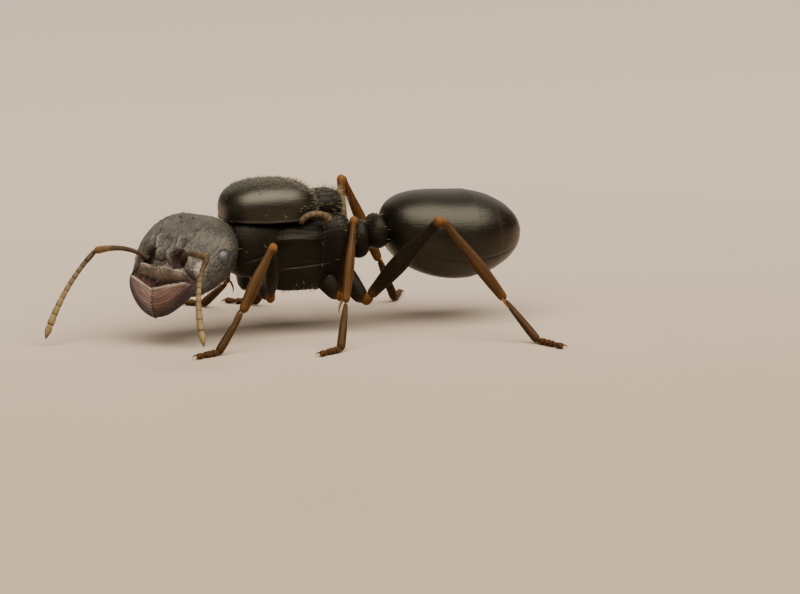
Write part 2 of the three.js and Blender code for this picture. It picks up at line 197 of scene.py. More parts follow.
class AntColours(bpy.types.PropertyGroup):
    """The colours of the shell, the limbs, the eyes and the hairs"""
    black: colour_setting("Black shell", (0.0052, 0.0040, 0.0025), "Body plates and gaster")
    dull: colour_setting("Head shell", (0.056, 0.0485, 0.0350), "Head capsule")
    # Painted highlight: the pale colour put on the raised places of the head and the jaws.
    cheek: colour_setting("Highlight shell", (0.38, 0.295, 0.225), "Raised places of the head")
    # Also the dark red of the painted shade on the head's front plane above the jaws and in the
    # jaws' hollow.
    rust: colour_setting("Rusty shell", (0.080, 0.022, 0.013), "Thin edges of the plates")
    jaw: colour_setting("Jaw", (0.166, 0.088, 0.062), "Mandibles")
    jaw_dark: colour_setting("Jaw's edge", (0.022, 0.009, 0.009), "Teeth and outer edge")
    limb: colour_setting("Limb", (0.046, 0.021, 0.0075), "Middle of the legs' lengths")
    limb_dark: colour_setting("Dark limb", (0.0085, 0.0060, 0.0040), "Femora")
    joint: colour_setting("Joint", (0.135, 0.054, 0.0130), "Knees, ankles and toes")
    feeler_dark: colour_setting("Dark feeler", (0.032, 0.0195, 0.0140),
                                "Roots of the scapes and first beads")
    feeler: colour_setting("Feeler", (0.155, 0.108, 0.050), "Scapes and beads")
    eye: colour_setting("Eye", (0.030, 0.0275, 0.0255), "Facets of the eyes")
    hair: colour_setting("Hair", (0.205, 0.158, 0.078), "Hairs of the body")


class AntSizes(bpy.types.PropertyGroup):
    """The thicknesses of the limbs and the size of the hairs"""
    hair_length: length_setting("Hair length", 0.2, "Length of the body's hairs")
    hair_width: length_setting("Hair width", 0.009, "Half thickness of a hair at its root")
    femur: length_setting("Femur half thickness", 0.29, "At the thickest place")
    tibia: length_setting("Tibia half thickness", 0.205, "At the thickest place")
    toe: length_setting("Toe half thickness", 0.13, "Half thickness of a toe")
    scape: length_setting("Scape half thickness", 0.12, "Half thickness of the scape")
    bead: length_setting("Bead half thickness", 0.115, "Half thickness of a feeler's middle bead")


class AntStage(bpy.types.PropertyGroup):
    """What the camera, the floor and the lights are set by"""
    azimuth: FloatProperty(name="Camera azimuth", description="Round the ant, 0 looks along +Y",
                           default=math.radians(-20), subtype="ANGLE")
    elevation: FloatProperty(name="Camera elevation", description="Above the floor's plane",
                             default=math.radians(10), subtype="ANGLE")
    width: length_setting("View width", 26.667, "Width of what the camera sees at the ant")
    lens: FloatProperty(name="Lens", description="Focal length in millimetres", default=600.0,
                        unit="CAMERA")
    floor: colour_setting("Floor", (0.465, 0.366, 0.286), "Colour of the plain floor")
    # Painted shadow: a darker, warmer floor colour in front of the ant.
    near: colour_setting("Near floor", (0.325, 0.243, 0.166), "Colour in front of the ant")
    wall: colour_setting("Background", (0.60, 0.50, 0.41), "Colour of the light all round")
    key: FloatProperty(name="Key light", description="Power of the main soft light", default=3.2,
                       unit="POWER")
    seed: IntProperty(name="Seed", description="Start of every random draw", default=7)


# ---- Node trees written as Python expressions ----------------------------------------------------

class Wire:
    """A value that flows through a node tree; arithmetic on it adds Math nodes."""

    def __init__(self, maker, socket):
        self.maker = maker
        self.socket = socket

    def __add__(self, other):
        return self.maker.math("ADD", self, other)

    def __radd__(self, other):
        return self.maker.math("ADD", other, self)

    def __sub__(self, other):
        return self.maker.math("SUBTRACT", self, other)

    def __rsub__(self, other):
        return self.maker.math("SUBTRACT", other, self)

    def __mul__(self, other):
        return self.maker.math("MULTIPLY", self, other)

    def __rmul__(self, other):
        return self.maker.math("MULTIPLY", other, self)

    def __truediv__(self, other):
        return self.maker.math("DIVIDE", self, other)

    def __rtruediv__(self, other):
        return self.maker.math("DIVIDE", other, self)

    def __pow__(self, other):
        return self.maker.math("POWER", self, other)


class Maker:
    """Adds nodes to a tree: one method for every node, and short names for the usual ones."""

    def __init__(self, tree):
        self.tree = tree

    def put(self, socket, value):
        """Links a socket to a wire, or gives it a value."""
        if isinstance(value, Wire):
            self.tree.links.new(value.socket, socket)
        elif isinstance(value, bpy.types.NodeSocket):
            self.tree.links.new(value, socket)
        else:
            socket.default_value = value

    def node(self, kind, settings=None, values=None, out=0):
        """A node with its settings made first, then the values or links of its sockets."""
        node = self.tree.nodes.new(kind)
        for name, value in (settings or {}).items():
            setattr(node, name, value)
        for name, value in (values or {}).items():
            sockets = node.inputs
            if isinstance(name, int):
                self.put(sockets[name], value)
            else:
                live = [s for s in sockets if s.enabled and name in (s.name, s.identifier)]
                self.put(live[0], value)
        outputs = [s for s in node.outputs if s.enabled]
        picked = outputs[out] if isinstance(out, int) else next(s for s in outputs if s.name == out)
        return Wire(self, picked)

    def math(self, operation, first, second):
        return self.node("ShaderNodeMath", {"operation": operation}, {0: first, 1: second})

    def limit(self, value):
        """The value, held between 0 and 1."""
        return self.node("ShaderNodeMath", {"operation": "ADD", "use_clamp": True},
                         {0: value, 1: 0.0})

    def step(self, value, low, high):
        """0 below low, 1 above high, smooth between them."""
        return self.node("ShaderNodeMapRange", {"interpolation_type": "SMOOTHSTEP"},
                         {"Value": value, "From Min": low, "From Max": high})

    def vector(self, operation, first, second):
        return self.node("ShaderNodeVectorMath", {"operation": operation}, {0: first, 1: second})

    def scale(self, vector, factor):
        return self.node("ShaderNodeVectorMath", {"operation": "SCALE"},
                         {0: vector, "Scale": factor})

    def mix(self, factor, first, second):
        """A blend of two colours."""
        return self.node("ShaderNodeMix", {"data_type": "RGBA"},
                         {"Factor_Float": factor, "A_Color": first, "B_Color": second})

    def parts(self, vector):
        """The x, y and z of a vector."""
        node = self.tree.nodes.new("ShaderNodeSeparateXYZ")
        self.put(node.inputs[0], vector)
        return [Wire(self, socket) for socket in node.outputs]


class Finish(Maker):
    """A material with one Principled shader."""

    def __init__(self, name, constants=None):
        self.material = bpy.data.materials.new(name)
        self.material.use_nodes = True
        super().__init__(self.material.node_tree)
        self.tree.nodes.clear()
        self.shader = self.tree.nodes.new("ShaderNodeBsdfPrincipled")
        output = self.tree.nodes.new("ShaderNodeOutputMaterial")
        self.tree.links.new(self.shader.outputs[0], output.inputs["Surface"])
        for socket, value in (constants or {}).items():
            self.shader.inputs[socket].default_value = value

    def set(self, **values):
        """Sets or links the shader's sockets."""
        for name, value in values.items():
            self.put(self.shader.inputs[name.replace("_", " ")], value)

    def attribute(self, name, out="Fac"):
        return self.node("ShaderNodeAttribute", {"attribute_name": name}, out=out)

    def place(self, scale, attribute=None):
        """The object's or an attribute's places in millimetres, scaled alike or axis by axis."""
        factor = np.broadcast_to(scale, 3) / (1 if attribute else MM)
        if attribute:
            start = self.attribute(attribute, "Vector")
        else:
            start = self.node("ShaderNodeTexCoord", out="Object")
        return self.node("ShaderNodeMapping", {"vector_type": "POINT"},
                         {"Vector": start, "Scale": factor.tolist()})

    def noise(self, place, detail=3.0, rough=0.55):
        return self.node("ShaderNodeTexNoise", None,
                         {"Vector": place, "Scale": 1.0, "Detail": detail, "Roughness": rough})

    def cells(self, place, feature="F1"):
        return self.node("ShaderNodeTexVoronoi", {"feature": feature},
                         {"Vector": place, "Scale": 1.0})

    def bump(self, height, depth):
        """Bumps whose full height is depth millimetres."""
        normal = self.node("ShaderNodeBump", None, {"Height": height, "Distance": depth * MM})
        self.put(self.shader.inputs["Normal"], normal)


# ---- Forms: points, faces and what the finishes and hairs read -----------------------------------

# For every point: its place in the piece's own directions, the way its hairs lie, how pale or rusty
# and how dark it is (on the head and jaws partly painted highlight and painted shade), how many
# hairs it has and how long they are
ATTRIBUTES = ("own", "lie", "tint", "dark", "hair", "long")


class Form:
    """A closed shape in millimetres, with a place on its own unwrap for every point."""

    def __init__(self, points, faces, unwrap):
        self.points = np.asarray(points, float)
        self.faces = faces
        self.unwrap = np.asarray(unwrap, float)
        count = len(self.points)
        self.own = self.points.copy()
        self.tint = np.zeros(count)
        self.dark = np.zeros(count)
        self.hair = np.zeros(count)
        self.long = np.ones(count)
        self.lie = np.tile((1.0, 0.0, 0.0), (count, 1))

    def parts(self):
        """The points' x, y and z."""
        return self.points.T.copy()

    def reshape(self, x, y, z):
        """Moves the points to other x, y and z."""
        self.points = np.stack([x, y, z], axis=1)

    def give_hairs(self, many, long):
        """The same hairs all over: how many and how long, as shares of the coat's own."""
        self.hair[:] = many
        self.long[:] = long
        return self

    def moved(self, change):
        """The form, turned and shifted as the change does to any points."""
        self.points = change(self.points)
        self.lie = change(self.lie) - change(np.zeros((1, 3)))
        return self


def joined(forms):
    """Several forms as one, with their unwraps side by side."""
    tiles = math.ceil(math.sqrt(len(forms)))
    points, faces, unwraps, start = [], [], [], 0
    for number, form in enumerate(forms):
        points.append(form.points)
        faces.extend([[index + start for index in face] for face in form.faces])
        tile = np.array((number % tiles, number // tiles))
        unwraps.append((form.unwrap + tile) / tiles)
        start += len(form.points)
    whole = Form(np.concatenate(points), faces, np.concatenate(unwraps))
    for name in ATTRIBUTES:
        setattr(whole, name, np.concatenate([getattr(form, name) for form in forms]))
    return whole


BALLS = {}


def unit_ball(level):
    """Points and triangles of a round ball, kept for reuse."""
    if level not in BALLS:
        work = bmesh.new()
        bmesh.ops.create_icosphere(work, subdivisions=level, radius=1.0)
        points = np.array([vert.co[:] for vert in work.verts])
        faces = [[vert.index for vert in face.verts] for face in work.faces]
        work.free()
        BALLS[level] = (points, faces)
    return BALLS[level]


# How often the triangles of a ball are halved
LARGE, PLATE, KNOB, SPOT, PAD = 7, 6, 5, 4, 3


def squared_ball(half, square, level, dense=(0, 0, 0)):
    """A ball pushed out to a squared ellipsoid, its points drawn toward one side."""
    unit, faces = unit_ball(level)
    unit = unit + np.asarray(dense, float)
    unit = unit / np.linalg.norm(unit, axis=1)[:, None]
    sizes = np.array(half, float)
    reach = (np.abs(unit / sizes) ** square).sum(axis=1) ** (-1 / square)
    unwrap = np.stack([np.arctan2(unit[:, 1], unit[:, 0]) / (2 * np.pi) + 0.5,
                       np.arcsin(np.clip(unit[:, 2], -1, 1)) / np.pi + 0.5], axis=1)
    return Form(unit * reach[:, None], faces, unwrap)


def curve(points, run):
    """Places on a Bezier curve through its control points."""
    run = np.asarray(run, float)[:, None]
    places = [np.asarray(point, float) for point in points]
    while len(places) > 1:
        places = [(1 - run) * near + run * far for near, far in zip(places, places[1:])]
    return places[0]


def smooth_path(first, middle, last, count):
    """Points on the curve that passes through three places."""
    first, middle, last = (np.asarray(place, float) for place in (first, middle, last))
    return curve((first, 2 * middle - (first + last) / 2, last), np.linspace(0, 1, count))


def spread(count):
    """Places from 0 to 1, closer together toward both ends."""
    return (1 - np.cos(np.pi * np.linspace(0, 1, count))) / 2


def clamp(value):
    """The value, held between 0 and 1."""
    return np.clip(value, 0, 1)


def edge(value, place, width):
    """0 before a place and 1 past it, with a soft step between."""
    return 0.5 + 0.5 * np.tanh((value - place) / width)


def band(value, low, high, low_width, high_width):
    """1 between two places and 0 outside them, with a soft step at each."""
    return edge(value, low, low_width) * (1 - edge(value, high, high_width))


def hill(value, centre, width):
    """A smooth hill of height 1."""
    return np.exp(-((value - centre) / width) ** 2)


def rounded(run, length, radius):
    """Radii along a length whose two ends are rounded off."""
    near = np.minimum(run, 1 - run) * length
    share = clamp(near / np.maximum(radius, 1e-9))
    return radius * np.sqrt(1 - (1 - share) ** 2)


def on_rings(values, first=0.0, last=1.0):
    """One value for each point of a skin, from those of its rings and of its two end points."""
    return np.concatenate([[first], values[1:-1].ravel(), [last]])


def ring_form(body):
    """A closed skin through rings of points, its first and last rings drawn in to a point."""
    count, sides = body.shape[:2]
    points = np.concatenate([body[:1].mean(axis=1), body[1:-1].reshape(-1, 3),
                             body[-1:].mean(axis=1)])
    faces = []
    for i in range(count - 3):
        for k in range(sides):
            a = 1 + i * sides + k
            b = 1 + i * sides + (k + 1) % sides
            faces.append([a, b, b + sides, a + sides])
    last = len(points) - 1
    end = last - sides
    for k in range(sides):
        faces.append([0, 1 + (k + 1) % sides, 1 + k])
        faces.append([last, end + k, end + (k + 1) % sides])
    along = on_rings(np.tile(np.linspace(0, 1, count)[:, None], (1, sides)))
    around = on_rings(np.tile(np.arange(sides) / sides, (count, 1)), 0, 0)
    form = Form(points, faces, np.stack([around, along], axis=1))
    form.own = np.stack([along, np.cos(2 * np.pi * around), np.sin(2 * np.pi * around)], axis=1)
    form.tint = along
    return form


def tube(path, radii, sides=20, flat=1.0, up=(0, 0, 1)):
    """A closed skin round a path, with hairs that lie along it."""
    path = np.asarray(path, float)
    tangent = np.gradient(path, axis=0)
    tangent /= np.linalg.norm(tangent, axis=1)[:, None]
    across = np.cross(tangent, np.asarray(up, float))
    across /= np.linalg.norm(across, axis=1)[:, None]
    over = np.cross(across, tangent)
    angle = 2 * np.pi * np.arange(sides) / sides
    ring = (np.cos(angle)[None, :, None] * across[:, None, :] * flat
            + np.sin(angle)[None, :, None] * over[:, None, :])
    form = ring_form(path[:, None, :] + ring * np.asarray(radii)[:, None, None])
    form.lie = np.concatenate([tangent[:1], np.repeat(tangent[1:-1], sides, axis=0), tangent[-1:]])
    return form


def limb(start, end, radius, length_shape, sides=20, flat=0.85, rings=28, bow=0.0):
    """A straight or slightly bowed length of limb with rounded ends."""
    start, end = np.asarray(start, float), np.asarray(end, float)
    run = spread(rings)
    length = np.linalg.norm(end - start)
    path = start + run[:, None] * (end - start)
    path[:, 2] += bow * np.sin(np.pi * run)
    radii = rounded(run, length, radius * length_shape(run))
    form = tube(path, radii, sides, flat)
    form.tint = on_rings(np.tile(run[:, None], (1, sides)))
    return form


# ---- From forms to objects -----------------------------------------------------------------------

def link(name, data):
    """A new object in the scene."""
    piece = bpy.data.objects.new(name, data)
    bpy.context.scene.collection.objects.link(piece)
    return piece


def set_attributes(mesh, values, domain="POINT"):
    """Attributes of a mesh from arrays of numbers or of vectors."""
    for key, array in values.items():
        kind, field = ("FLOAT", "value") if np.ndim(array) == 1 else ("FLOAT_VECTOR", "vector")
        layer = mesh.attributes.new(key, kind, domain)
        layer.data.foreach_set(field, np.ascontiguousarray(array, dtype=np.float32).ravel())


def to_object(name, form, shift=SHIFT, unit=MM):
    """A mesh object of a form, in metres in the frame, with its attributes."""
    mesh = bpy.data.meshes.new(name)
    mesh.from_pydata(((form.points + shift) * unit).tolist(), [], form.faces)
    mesh.update()
    set_attributes(mesh, {key: getattr(form, key) for key in ATTRIBUTES})
    corners = np.empty(len(mesh.loops), dtype=np.int32)
    mesh.loops.foreach_get("vertex_index", corners)
    unwrap = np.zeros((len(corners), 3))
    unwrap[:, :2] = form.unwrap[corners]
    set_attributes(mesh, {"unwrap": unwrap}, "CORNER")
    mesh.polygons.foreach_set("use_smooth", np.ones(len(mesh.polygons), dtype=bool))
    return link(name, mesh)


def show(piece, material, nodes=()):
    """Gives a finished piece its one material and its place in the frame."""
    piece.data.materials.clear()
    piece.data.materials.append(material)
    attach(piece, "root")
    if nodes:
        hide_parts(*nodes)
    return piece


def run_nodes(name, start, tree, inputs):
    """The plain mesh that a Geometry Nodes tree makes of an object."""
    modifier = start.modifiers.new("Build", "NODES")
    modifier.node_group = tree
    for item in tree.interface.items_tree:
        if item.item_type == "SOCKET" and item.in_out == "INPUT" and item.name in inputs:
            modifier[item.identifier] = inputs[item.name]
    graph = bpy.context.evaluated_depsgraph_get()
    mesh = bpy.data.meshes.new_from_object(start.evaluated_get(graph), depsgraph=graph)
    start.modifiers.remove(modifier)
    mesh.name = name
    return link(name, mesh)


def drop(piece):
    """Takes a helper and its mesh away."""
    mesh = piece.data
    bpy.data.objects.remove(piece)
    bpy.data.meshes.remove(mesh)


class Tree(Maker):
    """A Geometry Nodes tree with named inputs."""

    def __init__(self, name, inputs):
        super().__init__(bpy.data.node_groups.new(name, "GeometryNodeTree"))
        face = self.tree.interface
        face.new_socket("Geometry", in_out="OUTPUT", socket_type="NodeSocketGeometry")
        face.new_socket("Geometry", in_out="INPUT", socket_type="NodeSocketGeometry")
        for title, kind in inputs.items():
            face.new_socket(title, in_out="INPUT", socket_type=kind)
        self.start = self.tree.nodes.new("NodeGroupInput")
        self.end = self.tree.nodes.new("NodeGroupOutput")

    def input(self, name):
        return Wire(self, self.start.outputs[name])

    def read(self, name, kind="FLOAT"):
        return self.node("GeometryNodeInputNamedAttribute", {"data_type": kind}, {"Name": name})

    def store(self, geometry, name, value, kind="FLOAT", domain="POINT"):
        """Keeps a value on the geometry as a named attribute."""
        return self.node("GeometryNodeStoreNamedAttribute", {"data_type": kind, "domain": domain},
                         {"Geometry": geometry, "Name": name, "Value": value})

    def close(self, instances, material):
        """Realizes the instances and sets their material."""
        real = self.node("GeometryNodeRealizeInstances", None, {"Geometry": instances})
        return self.node("GeometryNodeSetMaterial", None, {"Geometry": real, "Material": material})

    def ended(self, geometry):
        """The tree, with what it makes linked to its output."""
        self.put(self.end.inputs[0], geometry)
        return self.tree


PATCH = 0.003  # how wide a hair's place on the unwrap is
SHAKE = 0.22  # how far a hair turns away from where it should lie
SHORTEST, LONGEST = 0.65, 1.2


def hair_tree():
    """Curved tapering hairs scattered over a skin, lying as the skin's attribute says."""
    tree = Tree("Hairs", {
        "Density": "NodeSocketFloat", "Length": "NodeSocketFloat", "Width": "NodeSocketFloat",
        "Lean": "NodeSocketFloat", "Curl": "NodeSocketFloat", "Seed": "NodeSocketInt",
        "Material": "NodeSocketMaterial"})
    cone = tree.node("GeometryNodeMeshCone", {"fill_type": "NGON"},
                     {"Vertices": 4, "Side Segments": 4, "Radius Top": 0.0, "Radius Bottom": 1.0,
                      "Depth": 1.0})
    place = tree.node("GeometryNodeInputPosition")
    x, _, z = tree.parts(place)
    cone = tree.store(cone, "along", z)
    patch = tree.node("ShaderNodeCombineXYZ", None, {0: x * 0.5, 1: z - 0.5})
    cone = tree.store(cone, "patch", patch, "FLOAT_VECTOR")
    swing = z ** 2.0 * (tree.input("Curl") * tree.input("Length") / tree.input("Width"))
    offset = tree.node("ShaderNodeCombineXYZ", None, {0: swing, 2: z * -0.04 - 0.04})
    cone = tree.node("GeometryNodeSetPosition", None, {"Geometry": cone, "Offset": offset})
    density = tree.input("Density") * tree.read("hair")
    points = tree.node("GeometryNodeDistributePointsOnFaces", {"distribute_method": "RANDOM"},
                       {"Mesh": tree.input("Geometry"), "Density": density,
                        "Seed": tree.input("Seed")})
    normal = Wire(tree, points.socket.node.outputs["Normal"])
    lie = tree.read("lie", "FLOAT_VECTOR")
    shake = tree.node("FunctionNodeRandomValue", {"data_type": "FLOAT_VECTOR"},
                      {"Min": (-SHAKE,) * 3, "Max": (SHAKE,) * 3, "Seed": tree.input("Seed")})
    stand = tree.scale(normal, 1.0 - tree.input("Lean"))
    aim = tree.vector("ADD", tree.vector("ADD", stand, tree.scale(lie, tree.input("Lean"))), shake)
    turn = tree.node("FunctionNodeAxesToRotation", {"primary_axis": "Z", "secondary_axis": "X"},
                     {"Primary Axis": aim, "Secondary Axis": lie})
    vary = tree.node("FunctionNodeRandomValue", {"data_type": "FLOAT"},
                     {"Min": SHORTEST, "Max": LONGEST, "Seed": tree.input("Seed") + 1.0})
    long = tree.input("Length") * tree.read("long") * vary
    size = tree.node("ShaderNodeCombineXYZ", None,
                     {0: tree.input("Width"), 1: tree.input("Width"), 2: long})
    many = tree.node("GeometryNodeInstanceOnPoints", None,
                     {"Points": points, "Instance": cone, "Rotation": turn, "Scale": size})
    real = tree.close(many, tree.input("Material"))
    spot = tree.vector("ADD", tree.read("unwrap", "FLOAT_VECTOR"),
                       tree.scale(tree.read("patch", "FLOAT_VECTOR"), PATCH))
    real = tree.store(real, "OFBake", spot, "FLOAT2", "CORNER")
    real = tree.node("GeometryNodeSetShadeSmooth", None, {"Geometry": real, "Shade Smooth": True})
    return tree.ended(real)


def bead_tree():
    """A bead at every point, turned along the point's aim and sized by its size."""
    tree = Tree("Beads", {"Bead": "NodeSocketObject", "Material": "NodeSocketMaterial"})
    bead = tree.node("GeometryNodeObjectInfo", {"transform_space": "ORIGINAL"},
                     {"Object": tree.input("Bead")}, out="Geometry")
    turn = tree.node("FunctionNodeAxesToRotation", {"primary_axis": "Z", "secondary_axis": "X"},
                     {"Primary Axis": tree.read("aim", "FLOAT_VECTOR"),
                      "Secondary Axis": tree.read("side", "FLOAT_VECTOR")})
    many = tree.node("GeometryNodeInstanceOnPoints", None,
                     {"Points": tree.input("Geometry"), "Instance": bead, "Rotation": turn,
                      "Scale": tree.read("size", "FLOAT_VECTOR")})
    return tree.ended(tree.close(many, tree.input("Material")))


def facet_tree():
    """A dome of small six-sided facets, each standing a little proud."""
    tree = Tree("Facets", {"Half Size": "NodeSocketVector", "Level": "NodeSocketInt",
                           "Groove": "NodeSocketFloat", "Material": "NodeSocketMaterial"})
    ball = tree.node("GeometryNodeMeshIcoSphere", None,
                     {"Radius": 1.0, "Subdivisions": tree.input("Level")})
    cells = tree.node("GeometryNodeDualMesh", None, {"Mesh": ball})
    raised = tree.node("GeometryNodeExtrudeMesh", {"mode": "FACES"},
                       {"Mesh": cells, "Offset Scale": tree.input("Groove"), "Individual": True})
    top = Wire(tree, raised.socket.node.outputs["Top"])
    domed = tree.node("GeometryNodeScaleElements", None,
                      {"Geometry": raised, "Selection": top, "Scale": 0.7})
    sized = tree.node("GeometryNodeTransform", None,
                      {"Geometry": domed, "Scale": tree.input("Half Size")})
    sized = tree.node("GeometryNodeSetShadeSmooth", None, {"Geometry": sized, "Shade Smooth": True})
    return tree.ended(tree.close(sized, tree.input("Material")))


# ---- Finishes ------------------------------------------------------------------------------------

SHELL_IOR = 1.5
HAIR_IOR = 1.55


def rgba(colour, share=1.0):
    """A colour, made darker or paler by a share, as a socket takes it."""
    return (*[part * share for part in colour], 1.0)


def black_shell(colours, name, shine, rough, grain=1.0):
    """Near-black shell with a fine net of cells and shallow level lines, rusty at a thin edge."""
    make = Finish(name, {"IOR": SHELL_IOR, "Specular IOR Level": shine,
                         "Specular Tint": (1.0, 0.9, 0.68, 1.0)})
    clouds = make.noise(make.place(1.1), 4.0)
    mottle = make.step(clouds, 0.42, 0.72)
    speck = make.noise(make.place(14), 5.0, 0.65)
    blend = make.limit(mottle * 0.5 + (speck - 0.5) * 0.8)
    colour = make.mix(blend, rgba(colours.black, 0.8), rgba(colours.black, 2.4))
    colour = make.mix(make.attribute("tint"), colour, rgba(colours.rust))
    net = make.cells(make.place(34), "DISTANCE_TO_EDGE")
    pit = make.step(make.cells(make.place(7.5)), 0.05, 0.16)
    lines = make.noise(make.place((2.5, 2.5, 22.0)), 3.0)
    uneven = (clouds - 0.5) * 0.14 + (speck - 0.5) * 0.16
    make.set(Base_Color=colour, Roughness=rough + uneven * grain)
    height = make.step(net, 0.0, 0.12) * 0.35 + pit * 0.6 + speck * 0.6 + lines * 3.0
    make.bump(height, 0.007 * grain)
    return make.material


def dull_shell(colours):
    """Matt head shell: fine lengthwise ridges, punctures, speckles, paler worn patches, painted
    shade in the hollows and painted highlight on raised forms.
    """
    make = Finish("Head shell", {"IOR": SHELL_IOR, "Specular IOR Level": 0.3})
    worn = make.noise(make.place(1.7, "own"), 4.0, 0.6)
    grain = make.noise(make.place(20, "own"), 5.0, 0.75)
    ridges = make.noise(make.place((2.6, 24, 15), "own"), 3.0, 0.6)
    lines = make.step(ridges, 0.34, 0.66)
    pits = make.step(make.cells(make.place(6.5, "own")), 0.05, 0.2)
    patches = make.step(worn, 0.38, 0.72) * 0.5
    shade = make.limit(patches + (grain - 0.5) * 2.6 + lines * 0.4 + pits * 0.15 - 0.1)
    colour = make.mix(shade, rgba(colours.dull, 0.35), rgba(colours.dull, 2.1))
    tone = make.attribute("tint")
    # Painted shade: near black where the tint is low, in the face's hollows, on the rear sides and
    # on the underside.
    colour = make.mix(make.step(0.5 - tone, 0.0, 0.4) * 0.85, colour, rgba(colours.dull, 0.15))
    # Red shell in the antennal pits and seams, and painted shade in dark red on the front plane
    # above the jaws.
    rusty = make.attribute("dark") * (0.5 + grain * 0.5)
    colour = make.mix(rusty, colour, rgba(colours.rust, 0.42))
    # Painted highlight: the pale colour on the face's raised forms.
    pale = make.step(tone + (grain - 0.5) * 0.7, 0.56, 1.02)
    colour = make.mix(pale, colour, rgba(colours.cheek))
    make.set(Base_Color=colour, Roughness=0.46 + (grain - 0.5) * 0.25)
    make.bump(lines * 0.8 + grain * 0.8 + pits * 0.4 + worn * 0.5, 0.026)
    return make.material


def jaw_shell(colours):
    """Red-brown jaw with long grooves, blackened toward the teeth and the outer edge, with painted
    highlight on its shelf and groove crests and painted shade in its hollow.
    """
    make = Finish("Jaw shell", {"IOR": SHELL_IOR, "Specular IOR Level": 0.35})
    grain = make.noise(make.place((2.0, 30, 14), "own"), 3.0, 0.5)
    clouds = make.noise(make.place(2.2, "own"), 3.0)
    lines = make.noise(make.place((1.2, 16, 8), "own"), 4.0, 0.6)
    shade = make.limit(make.step(lines, 0.36, 0.66) * 0.75 + (clouds - 0.5) * 0.8)
    colour = make.mix(shade, rgba(colours.jaw, 0.5), rgba(colours.jaw, 1.6))
    tone = make.attribute("tint") + (grain - 0.5) * 0.25
    # Painted highlight: pale colour on the shelf and the groove crests.
    colour = make.mix(make.step(tone, 0.52, 1.0), colour, rgba(colours.cheek, 0.92))
    # Painted shade: dark red in the hollow where the jaw runs in under the head.
    colour = make.mix(make.attribute("dark"), colour, rgba(colours.rust, 0.5))
    colour = make.mix(make.step(0.48 - tone, 0.0, 0.4), colour, rgba(colours.jaw_dark))
    make.set(Base_Color=colour, Roughness=0.34 + grain * 0.2)
    make.bump(make.step(lines, 0.3, 0.7) + grain * 0.5, 0.035)
    return make.material


def limb_shell(name, middle, ends, deep, dark):
    """Limb shell: darker in the middle of each length, rusty at the joints, faintly grooved."""
    make = Finish(name, {"IOR": SHELL_IOR, "Specular IOR Level": 0.08,
                         "Specular Tint": (1.0, 0.85, 0.6, 1.0)})
    along = make.attribute("tint")
    clouds = make.noise(make.place(3.0), 4.0)
    fine = make.noise(make.place((2.2, 7.0, 7.0), "own"), 4.0)
    pits = make.step(make.cells(make.place(11)), 0.05, 0.2)
    blend = make.limit(along + (clouds - 0.5) * 0.6 + (fine - 0.5) * 0.5)
    colour = make.mix(make.step(fine, 0.35, 0.7), rgba(middle, dark), rgba(middle, 1.6))
    colour = make.mix(blend, colour, rgba(ends))
    mottle = (fine - 0.5) * 0.7 + (clouds - 0.5) * 0.9
    shaded = make.limit(make.attribute("dark") + make.attribute("row") + mottle)
    colour = make.mix(shaded, colour, rgba(deep))
    make.set(Base_Color=colour, Roughness=0.34 + clouds * 0.16)
    make.bump(fine * 0.7 + pits * 0.5, 0.012)
    return make.material


def eye_finish(colours):
    """Dark grey facets under a thin coat."""
    make = Finish("Eye facets", {"IOR": SHELL_IOR, "Specular IOR Level": 0.6, "Coat Weight": 0.35,
                                 "Coat Roughness": 0.3})
    clouds = make.noise(make.place(5), 2.0)
    make.set(Base_Color=make.mix(clouds, rgba(colours.eye, 0.7), rgba(colours.eye, 1.5)),
             Roughness=0.3 + clouds * 0.1)
    return make.material


def hair_finish(colours):
    """Straw-coloured hair, paler toward its tip."""
    make = Finish("Hairs", {"IOR": HAIR_IOR, "Specular IOR Level": 0.4})
    along = make.attribute("along")
    make.set(Base_Color=make.mix(along, rgba(colours.hair, 0.5), rgba(colours.hair, 1.2)),
             Roughness=0.42 - along * 0.08)
    return make.material


FINISHES = {}


def finish(name):
    """The shared materials, made the first time that one is asked for."""
    if not FINISHES:
        colours = bpy.context.scene.ant_colours
        FINISHES.update({
            "black": black_shell(colours, "Black shell", 0.15, 0.36, 0.8),
            "glossy": black_shell(colours, "Glossy shell", 0.55, 0.36, 0.3),
            "gaster": black_shell(colours, "Gaster shell", 0.34, 0.3, 0.35),
            "dull": dull_shell(colours),
            "jaw": jaw_shell(colours),
            "limb": limb_shell("Limb shell", colours.limb, colours.joint, colours.limb_dark, 0.45),
            "feeler": limb_shell("Feeler shell", colours.feeler, colours.joint,
                                 colours.feeler_dark, 0.75),
            "eye": eye_finish(colours),
            "hair": hair_finish(colours),
        })
    return FINISHES[name]


# ---- Head ----------------------------------------------------------------------------------------

def soft_limit(value, top, blend):
    """The value, rounded off so that it never passes the top."""
    return value - blend * np.log1p(np.exp((value - top + blend) / blend))


# What each form of the face adds: height in millimetres, darkness (painted shade in its hollows),
# paleness (painted highlight), redness
FACE = {
    "lobe": (0.22, 0.0, 0.45, 0.0),
    "cleft": (-0.08, 0.6, 0.0, 0.0),
    "carina": (0.12, 0.0, 0.5, 0.0),
    "furrow": (-0.11, 0.75, 0.0, 0.0),
    "crease": (-0.03, 0.3, 0.0, 0.0),
    "pit": (-0.36, 0.95, 0.0, 1.3),
    "ring": (0.07, 0.0, 0.2, 0.0),
    "rib": (0.03, 0.0, 0.2, 0.0),
    "scrobe": (-0.07, 0.2, 0.0, 0.0),
    "middle": (-0.08, 0.25, 0.0, 0.0),
    "seam": (-0.07, 0.6, 0.0, 0.3),
    "lip": (0.09, 0.0, 0.5, 0.0),
    "cheek": (0.13, 0.0, 1.1, 0.2),
    "cheek_fold": (-0.1, 0.8, 0.0, 0.0),
    "lumps": (0.006, 0.0, 0.0, 0.0),
    "front_lumps": (0.024, -0.1, 0.0, 0.0),
    "front": (0.0, 0.0, 0.15, 0.28),
    "under": (0.0, 0.0, 0.35, 0.45),
}


